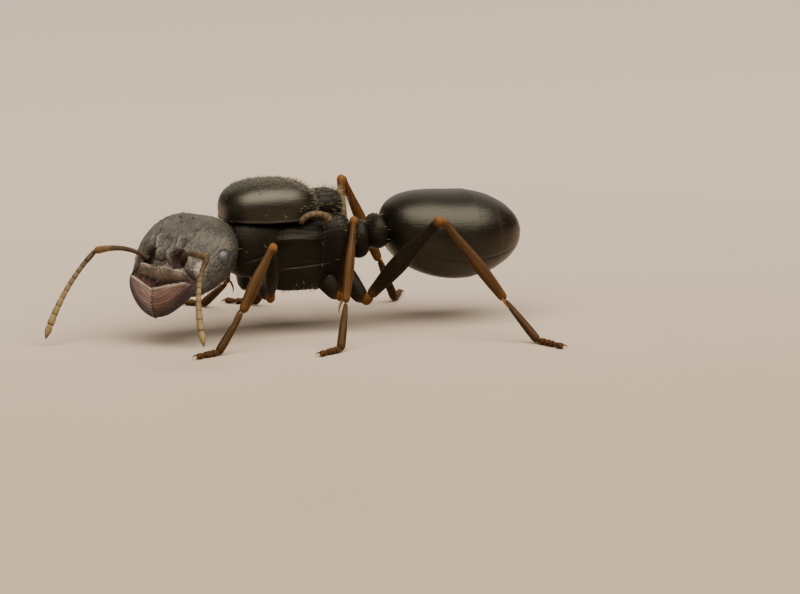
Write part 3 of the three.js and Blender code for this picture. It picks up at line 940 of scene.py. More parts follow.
def face_forms(f, y):
    """How much there is of each form of the face, by how far forward and sideways a point is."""
    side = np.abs(y)
    wavy = side + 0.035 * np.sin(11 * f + 3 * y)
    line = 0.38 + 0.14 * (0.8 - f)
    inner_furrow = hill(wavy, line + 0.14, 0.07) * band(f, 0.12, 0.66, 0.14, 0.06)
    outer_furrow = hill(wavy, 0.72 - 0.16 * f, 0.055) * band(f, -0.4, 0.42, 0.12, 0.1)
    reach = np.hypot((f - SOCKET_PIT["at"][0]) / 1.05, (side - SOCKET_PIT["at"][1]) / 1.15)
    seam_line = 1.07 - 0.12 * hill(y, 0, 0.3) + 0.02 * np.sin(14 * y)
    lip_line, lip_height = 1.22 + 0.04 * np.sin(7 * y), 0.75 + 0.4 * np.sin(9 * y + 2)
    lumps = np.sin(9 * f + 3 * y) * np.sin(7.5 * y - 4 * f)
    lumps = lumps + 0.8 * np.sin(17 * f - 11 * y + 1.0) * np.sin(13 * y + 5 * f)
    lumps = lumps + 0.5 * np.sin(31 * f + 17 * y) * np.sin(27 * y - 12 * f)
    front = edge(f, 0.98, 0.05)
    return {
        "lobe": hill(f, 0.84 + 0.25 * (side - 0.25), 0.19) * hill(wavy, 0.25, 0.14),
        "cleft": hill(y, 0.02 * np.sin(9 * f), 0.05) * band(f, 0.5, 1.05, 0.08, 0.04),
        "carina": hill(wavy, line, 0.05) * band(f, 0.08, 0.86, 0.12, 0.05),
        "furrow": inner_furrow + 0.5 * outer_furrow,
        "crease": hill(wavy, 0.2 + 0.2 * (f - 0.1), 0.045) * band(f, 0.05, 0.6, 0.1, 0.06),
        "pit": 1 - edge(reach, SOCKET_PIT["half"], 0.035),
        "ring": hill(reach, SOCKET_PIT["ring"], 0.06) * edge(side, 0.5, 0.1),
        "rib": hill(wavy, 0.87 - 0.16 * f, 0.06) * band(f, -0.3, 0.5, 0.12, 0.1),
        "scrobe": hill(f - 0.7 + 0.25 * (side - 0.9), 0, 0.15) * band(side, 0.8, 1.2, 0.06, 0.08),
        "middle": hill(y, 0, 0.2) * hill(f, 0.36, 0.16),
        "seam": hill(f, seam_line, 0.032) * edge(0.95 - side, 0, 0.06),
        "lip": hill(f, lip_line, 0.075) * edge(1.05 - side, 0, 0.08) * lip_height,
        "cheek": hill(f, 0.9, 0.2) * hill(side, 1.43, 0.22),
        "cheek_fold": hill(f - 0.25 * (side - 1.2), 1.23, 0.045) * edge(side, 1.0, 0.06),
        "lumps": lumps * edge(f, -0.35, 0.2),
        "front_lumps": lumps * front,
        "front": front,
        "under": edge(f, 1.29, 0.02) * edge(1.0 - side, 0, 0.08),
    }


def head_relief(f, y):
    """Heights on the face, and where it gets painted shade, painted highlight and red."""
    forms = face_forms(f, y)
    height, dark, pale, red = (sum(FACE[name][column] * form for name, form in forms.items())
                               for column in range(4))
    return height, clamp(dark), clamp(pale * (1 - forms["pit"])), clamp(red)


def head_form():
    """The head capsule: a broad muzzle that slopes to the jaws, its relief and a dented nape."""
    (length, _, _), square = HEAD[1:]
    form = squared_ball(HEAD[1], square, LARGE, (-0.34, 0, 0.3))
    x, y, z = form.parts()
    forward, backward = clamp(-x / length), clamp(x / length)
    muzzle = clamp((-x - MUZZLE["from"]) / (MUZZLE["front"] - MUZZLE["from"]))
    y = y * (1 - 0.06 * forward ** 2 + MUZZLE["widen"] * muzzle ** 1.5)
    z = z * (1 - MUZZLE["taper"] * forward ** 2) - MUZZLE["droop"] * forward
    x = x - 0.16 * hill(y, 0, 0.7) * backward ** 4
    x = -soft_limit(-x, MUZZLE["front"], 0.035)
    top = clamp((z - 0.05) / 0.35)
    height, dark, pale, red = head_relief(-x, y)
    z = z + top * height
    rim = np.hypot((x - EYE[0][0]) / EYE[1][0], (z - EYE[0][2]) / EYE[1][2])
    orbit = 0.03 * hill(rim, 1.0, 0.14) - 0.025 * hill(rim, 1.25, 0.14)
    y = y - np.sign(y) * orbit * (np.abs(y) > 1.2)
    form.reshape(x, y, z)
    form.own = form.points.copy()
    mouth = edge(-x, 1.33, 0.02) * (z < 0.4)
    behind = edge(x, 0.62, 0.3) * edge(np.abs(y), 0.85, 0.35)
    # Painted highlight on the raised forms of the face and painted shade in its hollows.
    form.tint = 0.5 + 0.5 * top * (pale - dark) + 0.35 * mouth * (z > 0.1)
    # Painted shade on the rear of the head's sides and on its underside.
    form.tint = form.tint - 0.3 * clamp(behind + edge(-z, 0.1, 0.3))
    # Painted shade in dark red on the front plane above the jaws, and the red of the antennal pits
    # and seams.
    form.dark = clamp(0.75 * mouth + red * top)
    fringe = hill(-x, 1.335, 0.022) * edge(z, 0.3, 0.03) * edge(y, -0.1, 0.4)
    firm = clamp(2.5 * fringe)
    below = (z < -0.45) * hill(x, -0.6, 0.7)
    bald = 0.97 * edge(-x, 0.6, 0.1)
    form.hair = np.clip((1.1 * top + 0.25) * (1 - bald) + 0.9 * firm + 1.0 * below, 0, 4)
    form.long = 0.5 + 2.5 * firm + 0.9 * (z < -0.45)
    form.lie = np.stack([-0.3 - 1.6 * firm, -0.35 * np.sign(y) * (1 - firm),
                         0.35 - 0.8 * firm], axis=1)
    return form.moved(from_head)


def jaw_plan(side, run, share):
    """How far ahead and how far out the jaw lies, along its run and from inner to outer edge."""
    base, tip, width = JAW["base"], JAW["tip"], JAW["width"]
    cross = 0.03 + JAW["overlap"] * side
    outer = curve(((base, width), (base + 0.49, width), (tip - 0.02, 0.66 * width),
                   (tip, -0.02)), run)
    inner = curve(((base, 0.62 * width), (base + 0.2, 0.45 * width), (base + 0.2, cross)), run)
    plan = inner[:, None, :] + (outer - inner)[:, None, :] * share[None, :, None]
    late = run[:, None] ** 3
    bulge = (0.1 if side == LEFT else -0.11) * 4 * share * (1 - share) * late
    teeth = np.abs(np.sin(share * JAW_RELIEF["teeth"] * np.pi)) ** 0.7 * run[:, None] ** 12
    return plan[:, :, 0], plan[:, :, 1] - bulge - JAW_RELIEF["tooth"] * teeth + 0.02 * late


def jaw_form(side):
    """One mandible: it fans out from its joint to a toothed margin, with grooves along the fan."""
    rings, sides = 70, 168
    run = spread(rings)[:, None]
    angle = 2 * np.pi * (np.arange(sides) + 0.5) / sides
    across, upward = (np.sign(wave) * np.abs(wave) ** 0.72
                      for wave in (np.cos(angle), np.sin(angle)))
    share = (1 + across) / 2
    upper = clamp(3 * np.sin(angle))
    ahead, lateral = jaw_plan(side, run[:, 0], share)
    down = (ahead - JAW["base"]) / (JAW["tip"] - JAW["base"])
    rise = JAW["z"] - JAW["drop"] * down ** 2 + 0.07 * np.sin(np.pi * run)
    thick = JAW["thick"] / 2 * (1 - 0.35 * down) * np.clip(1 - 0.72 * run ** 3, 0.1, 1)
    shut = JAW_RELIEF["shut"] * -side * run ** 3
    ridge = np.cos(share * 2 * np.pi * JAW_RELIEF["grooves"] + 1.5 * np.sin(7 * run))
    grooves = np.sign(ridge) * np.abs(ridge) ** 0.7 * upper * np.sin(np.pi * run) ** 0.4
    rim = 1.83 - 0.38 * share + 0.03 * np.sin(9 * share)
    shelf = hill(ahead, rim, 0.07) * edge(0.8 - share, 0, 0.06) * upper
    hollow = edge(rim - 0.09 - ahead, 0, 0.025) * edge(0.9 - share, 0, 0.04)
    relief = JAW_RELIEF["groove"] * grooves * (1 - hollow)
    relief = relief + (JAW_RELIEF["shelf"] * shelf - JAW_RELIEF["hollow"] * hollow) * upper
    height = rise + thick * upward + relief + shut
    form = ring_form(np.stack([-ahead, side * lateral, height], axis=2))
    if side == RIGHT:
        form.faces = [face[::-1] for face in form.faces]
    along = form.own[:, 0]
    share = on_rings(np.tile(share, (rings, 1)))
    form.own = np.stack([along * 1.3, share * 1.2, form.own[:, 2]], axis=1)
    edges = 0.5 * edge(along, 0.94, 0.03) + 0.38 * edge(share, 0.78, 0.12)
    crest = on_rings(clamp(ridge) * upper, 0, 0) * edge(0.75 - share, 0, 0.1)
    # Painted highlight on the jaw's shelf and on the crests of its grooves; the teeth and the outer
    # edge are darker shell.
    form.tint = clamp(0.5 - edges + 0.4 * on_rings(shelf, 0, 0) + 0.2 * crest)
    # Painted shade, in dark red, in the hollow where the jaw runs in under the head.
    form.dark = on_rings(0.9 * hollow, 1, 0)
    form.hair = 0.05 + 0.3 * (share > 0.9)
    form.long[:] = 0.6
    form.lie[:] = (-0.6, -0.8 * side, -0.2)
    return form.moved(from_head)


class ANT_OT_head(bpy.types.Operator):
    """Build the head capsule, the neck and the three small eyes on the crown"""
    bl_idname = "ant.head"
    bl_label = "Head"

    def execute(self, context):
        form = head_form()
        keep_skin("head", form)
        show(to_object("head_shell", form), finish("dull"), ["head"])
        run = np.linspace(0, 1, 24)
        half = NECK["half"] + 0.03 * np.cos(run * 9 * np.pi)
        neck = tube(smooth_path(*NECK["path"], 24), rounded(run, NECK["length"], half), 28)
        neck.tint[:] = 0.05
        show(to_object("neck_shell", neck), finish("black"), ["neck"])
        (length, _, height), square = HEAD[1:]
        spots = []
        for x, y in CROWN_EYES:
            at = (x, y, height * (1 - (x / length) ** square) ** (1 / square))
            spot = squared_ball((0.05, 0.05, 0.04), 2, SPOT)
            spots.append(spot.moved(lambda points, at=at: from_head(points + at)))
        show(to_object("crown_eyes", joined(spots)), finish("glossy"))
        return {"FINISHED"}


class ANT_OT_eyes(bpy.types.Operator):
    """Build the two faceted eyes"""
    bl_idname = "ant.eyes"
    bl_label = "Eyes"

    def execute(self, context):
        tree = facet_tree()
        for name, side in SIDES.items():
            start = to_object("start", squared_ball((1, 1, 1), 2, 1))
            inputs = {**FACETS, "Material": finish("eye")}
            eye = run_nodes(f"eye_facets_{name}", start, tree, inputs)
            drop(start)
            local = Matrix.Translation(on_side(EYE[0], side)) @ Matrix.Diagonal((*EYE[1], 1))
            place = Matrix.Translation(HEAD_AT) @ head_turn().to_4x4()
            eye.data.transform(Matrix.Scale(MM, 4) @ Matrix.Translation(SHIFT) @ place @ local)
            show(eye, finish("eye"), [f"eye_{name}"])
        return {"FINISHED"}


class ANT_OT_jaws(bpy.types.Operator):
    """Build the two grooved mandibles"""
    bl_idname = "ant.jaws"
    bl_label = "Jaws"

    def execute(self, context):
        for name, side in SIDES.items():
            form = jaw_form(side)
            keep_skin("head", form)
            show(to_object(f"jaw_{name}", form), finish("jaw"), [f"mandible_{name}"])
        return {"FINISHED"}


# ---- Feelers -------------------------------------------------------------------------------------

def bead_form(waist=0.78, bulge=0.62, sides=16, rings=12):
    """One bead a unit long and a unit in half width: a narrow root, a full body, a rounded end."""
    run = spread(rings)
    radius = np.clip(waist + (1 - waist) * np.sin(np.clip(run / bulge, 0, 1) * np.pi / 2), 0, 1)
    near = np.clip(np.minimum(run, 1 - run) / 0.16, 0, 1)
    radius = radius * (1 - (1 - near) ** 3) ** (1 / 3)
    form = tube(np.stack([run * 0, run * 0, run], axis=1), radius, sides, 1.0, (0, 1, 0))
    form.dark = 0.25 * hill(form.own[:, 0], 0, 0.17)
    form.tint = 0.12 * hill(form.own[:, 0], 1, 0.2)
    return form


def beads(name, starts, ends, widths, bead, shell, darks):
    """A row of beads between pairs of places, each as dark as given."""
    mesh = bpy.data.meshes.new(name)
    mesh.from_pydata(((starts + SHIFT) * MM).tolist(), [], [])
    aim = ends - starts
    size = np.stack([widths, widths, np.linalg.norm(aim, axis=1)], axis=1) * MM
    side = np.cross(aim, (0.31, 0.2, 1.0))
    set_attributes(mesh, {"aim": aim, "side": side, "size": size, "row": darks})
    start = link(name + "_points", mesh)
    tree = bpy.data.node_groups.get("Beads") or bead_tree()
    piece = run_nodes(name, start, tree, {"Bead": bead, "Material": shell})
    drop(start)
    return piece


def scape_form(path, half, warm):
    """The long first length of a feeler, dark at its root and paler past the middle."""
    run = np.linspace(0, 1, len(path))
    radius = half * (0.6 + 0.12 * run + 0.46 * run ** 4 + 0.25 * hill(run, 0.04, 0.035))
    form = tube(path, rounded(run, SCAPE["length"], radius), 20)
    along = form.tint
    form.dark = 0.95 - 0.95 * warm * edge(along, 0.72, 0.14)
    form.tint = 0.6 * warm * hill(along, 0.93, 0.13)
    form.give_hairs(1.0, 0.4)
    return form


def club_form(start, end, half):
    """The last bead of a feeler, which narrows to a blunt tip."""
    form = limb(start, end, half, lambda t: 0.72 + 0.28 * hill(t, 0.42, 0.3) - 0.6 * t ** 3.5,
                18, 1.0)
    form.dark = 0.4 * hill(form.tint, 0, 0.1) + 0.6 * edge(form.tint, 0.72, 0.08)
    form.tint = 0.1 * hill(form.tint, 0.5, 0.3)
    return form


class ANT_OT_feelers(bpy.types.Operator):
    """Build the scapes and the eleven beads of each funiculus"""
    bl_idname = "ant.feelers"
    bl_label = "Feelers"

    def execute(self, context):
        sizes = context.scene.ant_sizes
        bead = to_object("bead", bead_form(), shift=0, unit=1)
        for name, side in SIDES.items():
            elbow = self.scape(name, side, sizes.scape / MM)
            self.funiculus(name, elbow, sizes.bead / MM, bead)
        drop(bead)
        return {"FINISHED"}

    def scape(self, name, side, half):
        """Builds a scape and says where it ends."""
        out = on_side(FEELERS[name]["scape"], side)
        out /= np.linalg.norm(out)
        socket = on_side(SOCKET, side)
        root = socket + on_side((0.06, 0.13, -0.2), side)
        elbow = socket + out * SCAPE["length"]
        bend = socket + out * SCAPE["length"] * 0.35 + on_side((0, 0.1, SCAPE["bend"]), side)
        path = from_head(smooth_path(root, bend, elbow, 44))
        form = scape_form(path, half, FEELERS[name]["warm"])
        keep_skin("feelers", form)
        show(to_object(f"scape_{name}_shell", form), finish("feeler"),
             [f"scape_{name}"])
        return from_head(elbow)

    def funiculus(self, name, start, half, bead):
        """Builds the beads past the elbow, the last one as a club."""
        aim = np.array(FEELERS[name]["funiculus"], float)
        aim *= FUNICULUS_LENGTH / np.linalg.norm(aim)
        sag = FEELERS[name]["sag"]
        fine = smooth_path(start, start + aim / 2 + (-sag, 0, sag), start + aim, 400)
        marks = np.concatenate([[0], np.cumsum(BEAD_LENGTHS) / np.sum(BEAD_LENGTHS)])
        places = fine[np.round(marks * (len(fine) - 1)).astype(int)]
        widths = half * np.interp(marks[1:], *BEAD_WIDTHS)
        darks = np.interp(marks[1:], *BEAD_DARKS)
        starts, ends = places[:-1], places[1:]
        row = beads(f"funiculus_{name}_beads", starts[:-1], (ends + (ends - starts) * 0.1)[:-1],
                    widths[:-1], bead, finish("feeler"), darks[:-1])
        show(row, finish("feeler"), [f"funiculus_{name}"])
        club = club_form(starts[-1], starts[-1] + (ends[-1] - starts[-1]) * 1.03, widths[-1])
        show(to_object(f"feeler_tip_{name}", club), finish("feeler"),
             [f"funiculus_{name}"])
        skin = tube(fine[::10], np.interp(np.linspace(0, 1, 40), marks[1:], widths) * 0.9, 12)
        skin.give_hairs(1.0, 0.36)
        keep_skin("feelers", skin)


# ---- Trunk, waist and gaster ---------------------------------------------------------------------

def plate_form(shape, level=PLATE):
    """A body plate round its own centre, with hairs that point backward."""
    form = squared_ball(shape[1], shape[2], level)
    form.lie[:] = (1.0, 0.0, -0.15)
    return form


def placed(form, centre):
    """The form at its place in the body, its finish following its own directions."""
    form.own = form.points.copy()
    form.points = form.points + np.array(centre)
    return form


def close_below(form, rim, depth, tuck):
    """Folds what lies below a rim into a shallow underside."""
    x, y, z = form.parts()
    low = clamp((rim - z) / depth)
    pull = 1 - tuck * low
    form.reshape(x * pull, y * pull, np.where(z < rim, rim - 0.08 * np.sin(low * np.pi / 2), z))


def mesoscutum_form():
    """The domed back plate, with a thin lip along its rim and three fine lines on top."""
    form = plate_form(MESOSCUTUM, LARGE)
    close_below(form, MESOSCUTUM_RIM - MESOSCUTUM[0][2], 0.7, 0.45)
    x, y, z = form.parts()
    lip = 0.035 * hill(z, -0.3, 0.045)
    x, y = x + lip * x / 1.6, y + lip * y / 1.3
    side_lines = 0.016 * hill(np.abs(y), 0.66, 0.02) * (x > -0.5)
    middle_line = 0.012 * hill(y, 0, 0.018) * (x < -0.2)
    z = z - (z > 0.2) * (side_lines + middle_line)
    form.reshape(x, y, z)
    form.tint = 0.12 * hill(z, -0.34, 0.05)
    form.hair = np.clip(0.1 + 2.6 * edge(z, 0.74, 0.16) + 1.2 * edge(x, 1.0, 0.2), 0, 3)
    form.long = 0.65 + 0.5 * edge(x, 0.9, 0.2)
    return placed(form, MESOSCUTUM[0])


def scutellum_form():
    """The knobbly plate behind the back plate, with a folded knob on each side."""
    form = plate_form(SCUTELLUM)
    close_below(form, SCUTELLUM_RIM - SCUTELLUM[0][2], 0.3, 0.4)
    x, y, z = form.parts()
    ribs = 0.025 * np.cos(y * 26) * hill(x, -0.52, 0.16) * (z > -0.1)
    knobs = 0.035 * np.sin(7 * x + 2) * np.cos(8 * y)
    knobs = knobs - 0.12 * hill(np.abs(y), 0.52, 0.06) * edge(0.35 - x, 0, 0.1)
    knobs = knobs - 0.05 * hill(x, -0.3, 0.05) + 0.04 * hill(x, 0.55, 0.08)
    form.reshape(x, y, z + ribs + knobs * (z > 0))
    form.hair = 1.0 + 2.6 * edge(x, 0.35, 0.08)
    form.long = 0.9 + 0.8 * edge(x, 0.2, 0.1)
    shapes = [placed(form, SCUTELLUM[0])]
    for side in SIDES.values():
        knob = plate_form(SCUTELLUM_KNOB, KNOB)
        x, y, z = knob.parts()
        folds = 0.03 * np.cos(x * 24 + 3 * y) - 0.05 * hill(x + 0.5 * np.abs(y), 0.1, 0.05)
        knob.reshape(x, y + side * 0.5 * folds, z + folds * (z > 0))
        knob.hair[:] = 1.2
        shapes.append(placed(knob, on_side(SCUTELLUM_KNOB[0], side)))
    return joined(shapes)


def mesothorax_form():
    """The deep plate of the flank, with a long seam, a front seam, swellings and fine ripples."""
    form = plate_form(MESOTHORAX, LARGE)
    x, y, z = form.parts()
    flank = np.abs(y) > 0.6
    long_line = -0.33 + 0.07 * x
    seams = 0.05 * hill(z, long_line, 0.03) * hill(x, 0.05, 0.75)
    seams = seams + 0.04 * hill(x, -0.95 + 0.22 * z, 0.03) * hill(z, 0.1, 0.8)
    seams = seams + 0.03 * hill(x, 0.62 + 0.1 * z, 0.04) * hill(z, 0.1, 0.8)
    swell = 0.06 * hill(z, -0.75, 0.35) * hill(x, 0.1, 0.7)
    swell = swell + 0.04 * hill(z, 0.35, 0.4) * hill(x, -0.1, 0.6)
    swell = swell + 0.13 * hill(z, 0.6, 0.2) * edge(0.6 - x, 0, 0.2)
    ripples = 0.008 * np.cos(z * 44 + 2 * np.sin(4 * x)) * hill(z, 0.7, 0.3)
    form.reshape(x, y + np.sign(y) * flank * (swell + ripples - seams), z)
    form.tint = 0.08 * flank * hill(z, long_line, 0.06)
    form.hair = 0.035 + 0.3 * (z < -0.8)
    form.lie[:] = (0.5, 0.0, -1.0)
    return placed(form, MESOTHORAX[0])


def pronotum_form():
    """The collar in front of the back plate, with a slanting groove on each side."""
    form = plate_form(PRONOTUM)
    x, y, z = form.parts()
    groove = 0.04 * hill(z, -0.25 + 0.3 * x, 0.05) * (np.abs(y) > 0.5)
    form.reshape(x, y - np.sign(y) * groove, z)
    form.hair[:] = 0.07
    form.lie[:] = (0.4, 0.0, -1.0)
    return placed(form, PRONOTUM[0])


def propodeum_form():
    """The rear of the trunk, ribbed across, with a breathing slit on each side."""
    form = plate_form(PROPODEUM)
    x, y, z = form.parts()
    cross_ribs = 0.012 * np.cos(z * 42) * (x > 0.1)
    slit = 0.07 * hill(x, 0.28, 0.06) * hill(z, 0.25, 0.13) * (np.abs(y) > 0.5)
    slope = 0.2 * clamp(z / 1.2) ** 2 * clamp(x / 0.8)
    form.reshape(x - slope + cross_ribs, y - np.sign(y) * slit, z)
    form.hair = 0.07 + 0.7 * edge(z, 0.8, 0.1)
    return placed(form, PROPODEUM[0])


def waist_form(shape, stem):
    """A node of the waist with its stem, finely ribbed across."""
    form = plate_form(shape)
    x, y, z = form.parts()
    pinch = 1 - 0.35 * clamp(z / shape[1][2])
    form.reshape(x * pinch + 0.004 * np.cos(z * 60), y, z)
    form.hair = 0.08 + 0.45 * (z > 0.2)
    start, end, half = stem
    run = np.linspace(0, 1, 24)
    path = np.asarray(start) + run[:, None] * (np.asarray(end) - start)
    stem = tube(path, rounded(run, 1.0, half + 0.004 * np.cos(run * 60)), 24)
    stem.tint[:] = 0.2
    return joined([placed(form, shape[0]), stem])


def gaster_outline(x, number):
    """Half widths of the gaster, as shares of its widest, and how far its middle line is lifted."""
    front, back = GASTER_FRONT["length"], GASTER[1][0]
    ahead, behind = clamp(-x / front), clamp(x / back)
    blunt, square = GASTER_FRONT["square"], GASTER[2]
    reach = np.where(x < 0, (1 - ahead ** blunt) ** (1 / blunt),
                     (1 - behind ** square) ** (1 / square) * (1 - 0.1 * behind ** 2))
    return reach * (1 - 0.009 * number), GASTER_FRONT["lift"] * ahead ** 1.5


def gaster_plate(number):
    """One ring of the gaster: a slice of the egg that starts inside the plate before it."""
    first, last = number == 0, number == 3
    half, square = GASTER[1:]
    rings, sides = 150 if first else 60, 180
    run = spread(rings) if first or last else np.linspace(0, 1, rings)
    low, high = GASTER_CUTS[number] - (0.0 if first else 0.06), GASTER_CUTS[number + 1]
    x = (low + run * (high - low)) * (GASTER_FRONT["length"] + half[0]) - GASTER_FRONT["length"]
    reach, lift = gaster_outline(x, number)
    if not last:
        reach = reach * (1 + 0.003 * edge(run, 0.93, 0.02) - 0.04 * clamp((run - 0.99) / 0.01) ** 2)
    angle = 2 * np.pi * np.arange(sides) / sides
    ring_y, ring_z = (np.sign(wave) * np.abs(wave) ** (2 / square)
                      for wave in (np.cos(angle), np.sin(angle)))
    pleat = 1 - 0.022 * hill(ring_z, -0.45, 0.03) * (np.abs(ring_y) > 0.3)
    form = ring_form(np.stack([np.tile(x[:, None], (1, sides)),
                               half[1] * reach[:, None] * ring_y * pleat,
                               half[2] * reach[:, None] * ring_z * pleat + lift[:, None]], axis=2))
    form.faces = [face[::-1] for face in form.faces]
    along = form.own[:, 0]
    rim = 0.05 if first else 0.13
    form.tint = edge(along, 1 - rim, rim / 3) * 0.12
    form.hair = (0.5 + 1.4 * hill(along, 0.95, 0.04) + last) * (along > (0.0 if first else 0.06))
    form.long = 0.7 + 0.45 * (along > 0.9) + 0.3 * last
    form.lie[:] = (1.0, 0.0, -0.1)
    return placed(form, GASTER[0])


class ANT_OT_trunk(bpy.types.Operator):
    """Build the plates of the trunk between head and waist"""
    bl_idname = "ant.trunk"
    bl_label = "Trunk"

    def execute(self, context):
        for name, make in (("mesoscutum", mesoscutum_form), ("scutellum", scutellum_form),
                           ("mesothorax", mesothorax_form), ("pronotum", pronotum_form),
                           ("propodeum", propodeum_form)):
            form = make()
            keep_skin("trunk", form)
            look = "glossy" if name == "mesoscutum" else "black"
            show(to_object(f"{name}_shell", form), finish(look), [name])
        return {"FINISHED"}


class ANT_OT_waist(bpy.types.Operator):
    """Build the petiole and the postpetiole"""
    bl_idname = "ant.waist"
    bl_label = "Waist"

    def execute(self, context):
        for name, shape, stem in (("petiole", PETIOLE, PETIOLE_STEM),
                                  ("postpetiole", POSTPETIOLE, POSTPETIOLE_STEM)):
            form = waist_form(shape, stem)
            keep_skin("trunk", form)
            show(to_object(f"{name}_shell", form), finish("black"), [name])
        return {"FINISHED"}


class ANT_OT_gaster(bpy.types.Operator):
    """Build the four plates of the gaster"""
    bl_idname = "ant.gaster"
    bl_label = "Gaster"

    def execute(self, context):
        for number in range(4):
            form = gaster_plate(number)
            keep_skin("gaster", form)
            name = f"gaster_{number + 1}"
            show(to_object(f"{name}_shell", form), finish("gaster"), [name])
        return {"FINISHED"}


def wing_stub_form(side):
    """An arched, wrinkled rim, thicker toward its rear end."""
    run = np.linspace(0, 1, 40)
    turn = (run - 0.5) * math.pi
    arch = np.stack([np.sin(turn), np.cos(turn), np.cos(turn)], axis=1) * WING_STUB["reach"]
    half = WING_STUB["half"] + 0.05 * hill(run, 0.85, 0.14) + 0.008 * np.cos(run * 50)
    path = on_side(arch + WING_STUB["middle"], side)
    form = tube(path, rounded(run, WING_STUB["length"], half), 20, 0.8, (0, 1, 0))
    form.dark = 0.62 + 0.25 * hill(form.tint, 0, 0.3) + 0.12 * np.cos(form.tint * 50)
    form.tint = 0.2 * hill(form.tint, 1, 0.2)
    form.give_hairs(1.6, 0.6)
    return form


class ANT_OT_wing_stubs(bpy.types.Operator):
    """Build the arched rims left where the wings broke off"""
    bl_idname = "ant.wing_stubs"
    bl_label = "Wing stubs"

    def execute(self, context):
        for name, side in SIDES.items():
            form = wing_stub_form(side)
            keep_skin("trunk", form)
            show(to_object(f"wing_stub_{name}_shell", form), finish("feeler"),
                 [f"wing_stub_{name}"])
        return {"FINISHED"}


# ---- Legs ----------------------------------------------------------------------------------------

def aim(side, swing, rise):
    """A unit vector outward and up, from two angles in degrees."""
    swing, rise = math.radians(swing), math.radians(rise)
    outward = (-math.cos(rise) * math.sin(swing), math.cos(rise) * math.cos(swing), math.sin(rise))
    return on_side(outward, side)


def leg_joints(name):
    """The places of a leg's joints from hip to tip."""
    pair, side_name = name.split("_")
    sizes, side = LEG_SIZES[pair], SIDES[side_name]
    femur, tibia, toes = LEG_POSES[name]
    hip, trochanter = on_side(sizes["hip"], side), on_side(sizes["trochanter"], side)
    knee = trochanter + aim(side, *femur) * sizes["femur"]
    ankle = knee + aim(side, *tibia) * sizes["tibia"]
    drop_angle = -math.degrees(math.asin((ankle[2] - SOLID_TOE_HEIGHT) / sizes["basitarsus"]))
    heel = ankle + aim(side, toes[0], drop_angle) * sizes["basitarsus"]
    tip = heel + aim(side, toes[1], 0) * sizes["toes"]
    heel[2] = tip[2] = TOE_HEIGHT
    return hip, trochanter, knee, ankle, heel, tip


def joint_tint(form, low, high, low_width, high_width):
    """Makes both ends of a length as pale as given, over the given widths."""
    along = form.tint
    form.tint = clamp(low * hill(along, 0, low_width) + high * hill(along, 1, high_width))


def coxa_form(hip, trochanter, size):
    """The stout first length, which narrows toward the trochanter."""
    form = limb(hip, trochanter, size, lambda t: 1.0 - 0.38 * t + 0.06 * np.sin(np.pi * t), 28, 0.9)
    form.tint = 0.5 * hill(form.tint, 1, 0.12)
    return form.give_hairs(0.6, 0.8)


def femur_form(trochanter, knee, size):
    """The trochanter's short ring and the swollen femur, which widens again at the knee."""
    line = (knee - trochanter) / np.linalg.norm(knee - trochanter)
    ring = limb(trochanter - line * 0.1, trochanter + line * 0.36, 0.19, np.ones_like)
    ring.tint[:] = 0.5
    main = limb(trochanter + line * 0.26, knee + line * 0.04, size,
                lambda t: 0.5 + 0.5 * hill(t, 0.4, 0.3) + 0.1 * hill(t, 0.96, 0.05),
                28, 0.8, 44, 0.03)
    main.dark = 0.95 * band(main.tint, 0.08, 0.92, 0.04, 0.025)
    joint_tint(main, 0.3, 1.0, 0.05, 0.07)
    return joined([ring, main]).give_hairs(1.0, 0.62)


def tibia_form(knee, ankle, size):
    """The tibia with its narrow root and the spur at its end."""
    line = (ankle - knee) / np.linalg.norm(ankle - knee)
    main = limb(knee + line * 0.02, ankle, size,
                lambda t: 0.55 + 0.45 * hill(t, 0.62, 0.36) + 0.12 * hill(t, 0.03, 0.04),
                26, 0.8, 44, 0.02)
    joint_tint(main, 0.7, 0.4, 0.05, 0.08)
    main.give_hairs(2.4, 0.6)
    side = np.cross(line, (0, 0, 1))
    side /= np.linalg.norm(side)
    root = ankle - line * 0.12 + side * size * 0.5
    path = smooth_path(root, root + line * 0.28 + side * 0.1, root + line * 0.52 + side * 0.07, 14)
    spur = tube(path, 0.045 * (1 - np.linspace(0, 1, 14)) ** 0.6, 10)
    spur.tint[:] = 0.9
    return joined([main, spur])


def claw_forms(tip, ahead):
    """Two curved claws and the pad between them."""
    across = np.cross(ahead, (0, 0, 1))
    forms = []
    for side in SIDES.values():
        root = tip + across * side * 0.03
        middle = root + ahead * 0.11 + across * side * 0.07 + (0, 0, 0.02)
        end = root + ahead * 0.2 + across * side * 0.07 + (0, 0, 0.028 - TOE_HEIGHT)
        path = smooth_path(root, middle, end, 14)
        forms.append(tube(path, 0.03 * (1 - np.linspace(0, 1, 14)) ** 0.55 + 0.002, 10))
    pad = squared_ball((0.05, 0.05, 0.035), 2, PAD)
    pad.points = pad.points + tip + ahead * 0.06 + (0, 0, -0.04)
    forms.append(pad)
    for form in forms:
        form.tint[:] = 0.35
    return forms


def tarsus_parts(ankle, heel, tip, width):
    """Starts, ends and half widths of the five tarsal beads."""
    places = np.array([ankle, heel] + [heel + (tip - heel) * mark for mark in TOE_MARKS])
    starts, ends = places[:-1], places[1:]
    overlap = (ends - starts) / np.linalg.norm(ends - starts, axis=1)[:, None] * 0.05
    return starts, ends + overlap, width * np.array(TOE_WIDTHS)


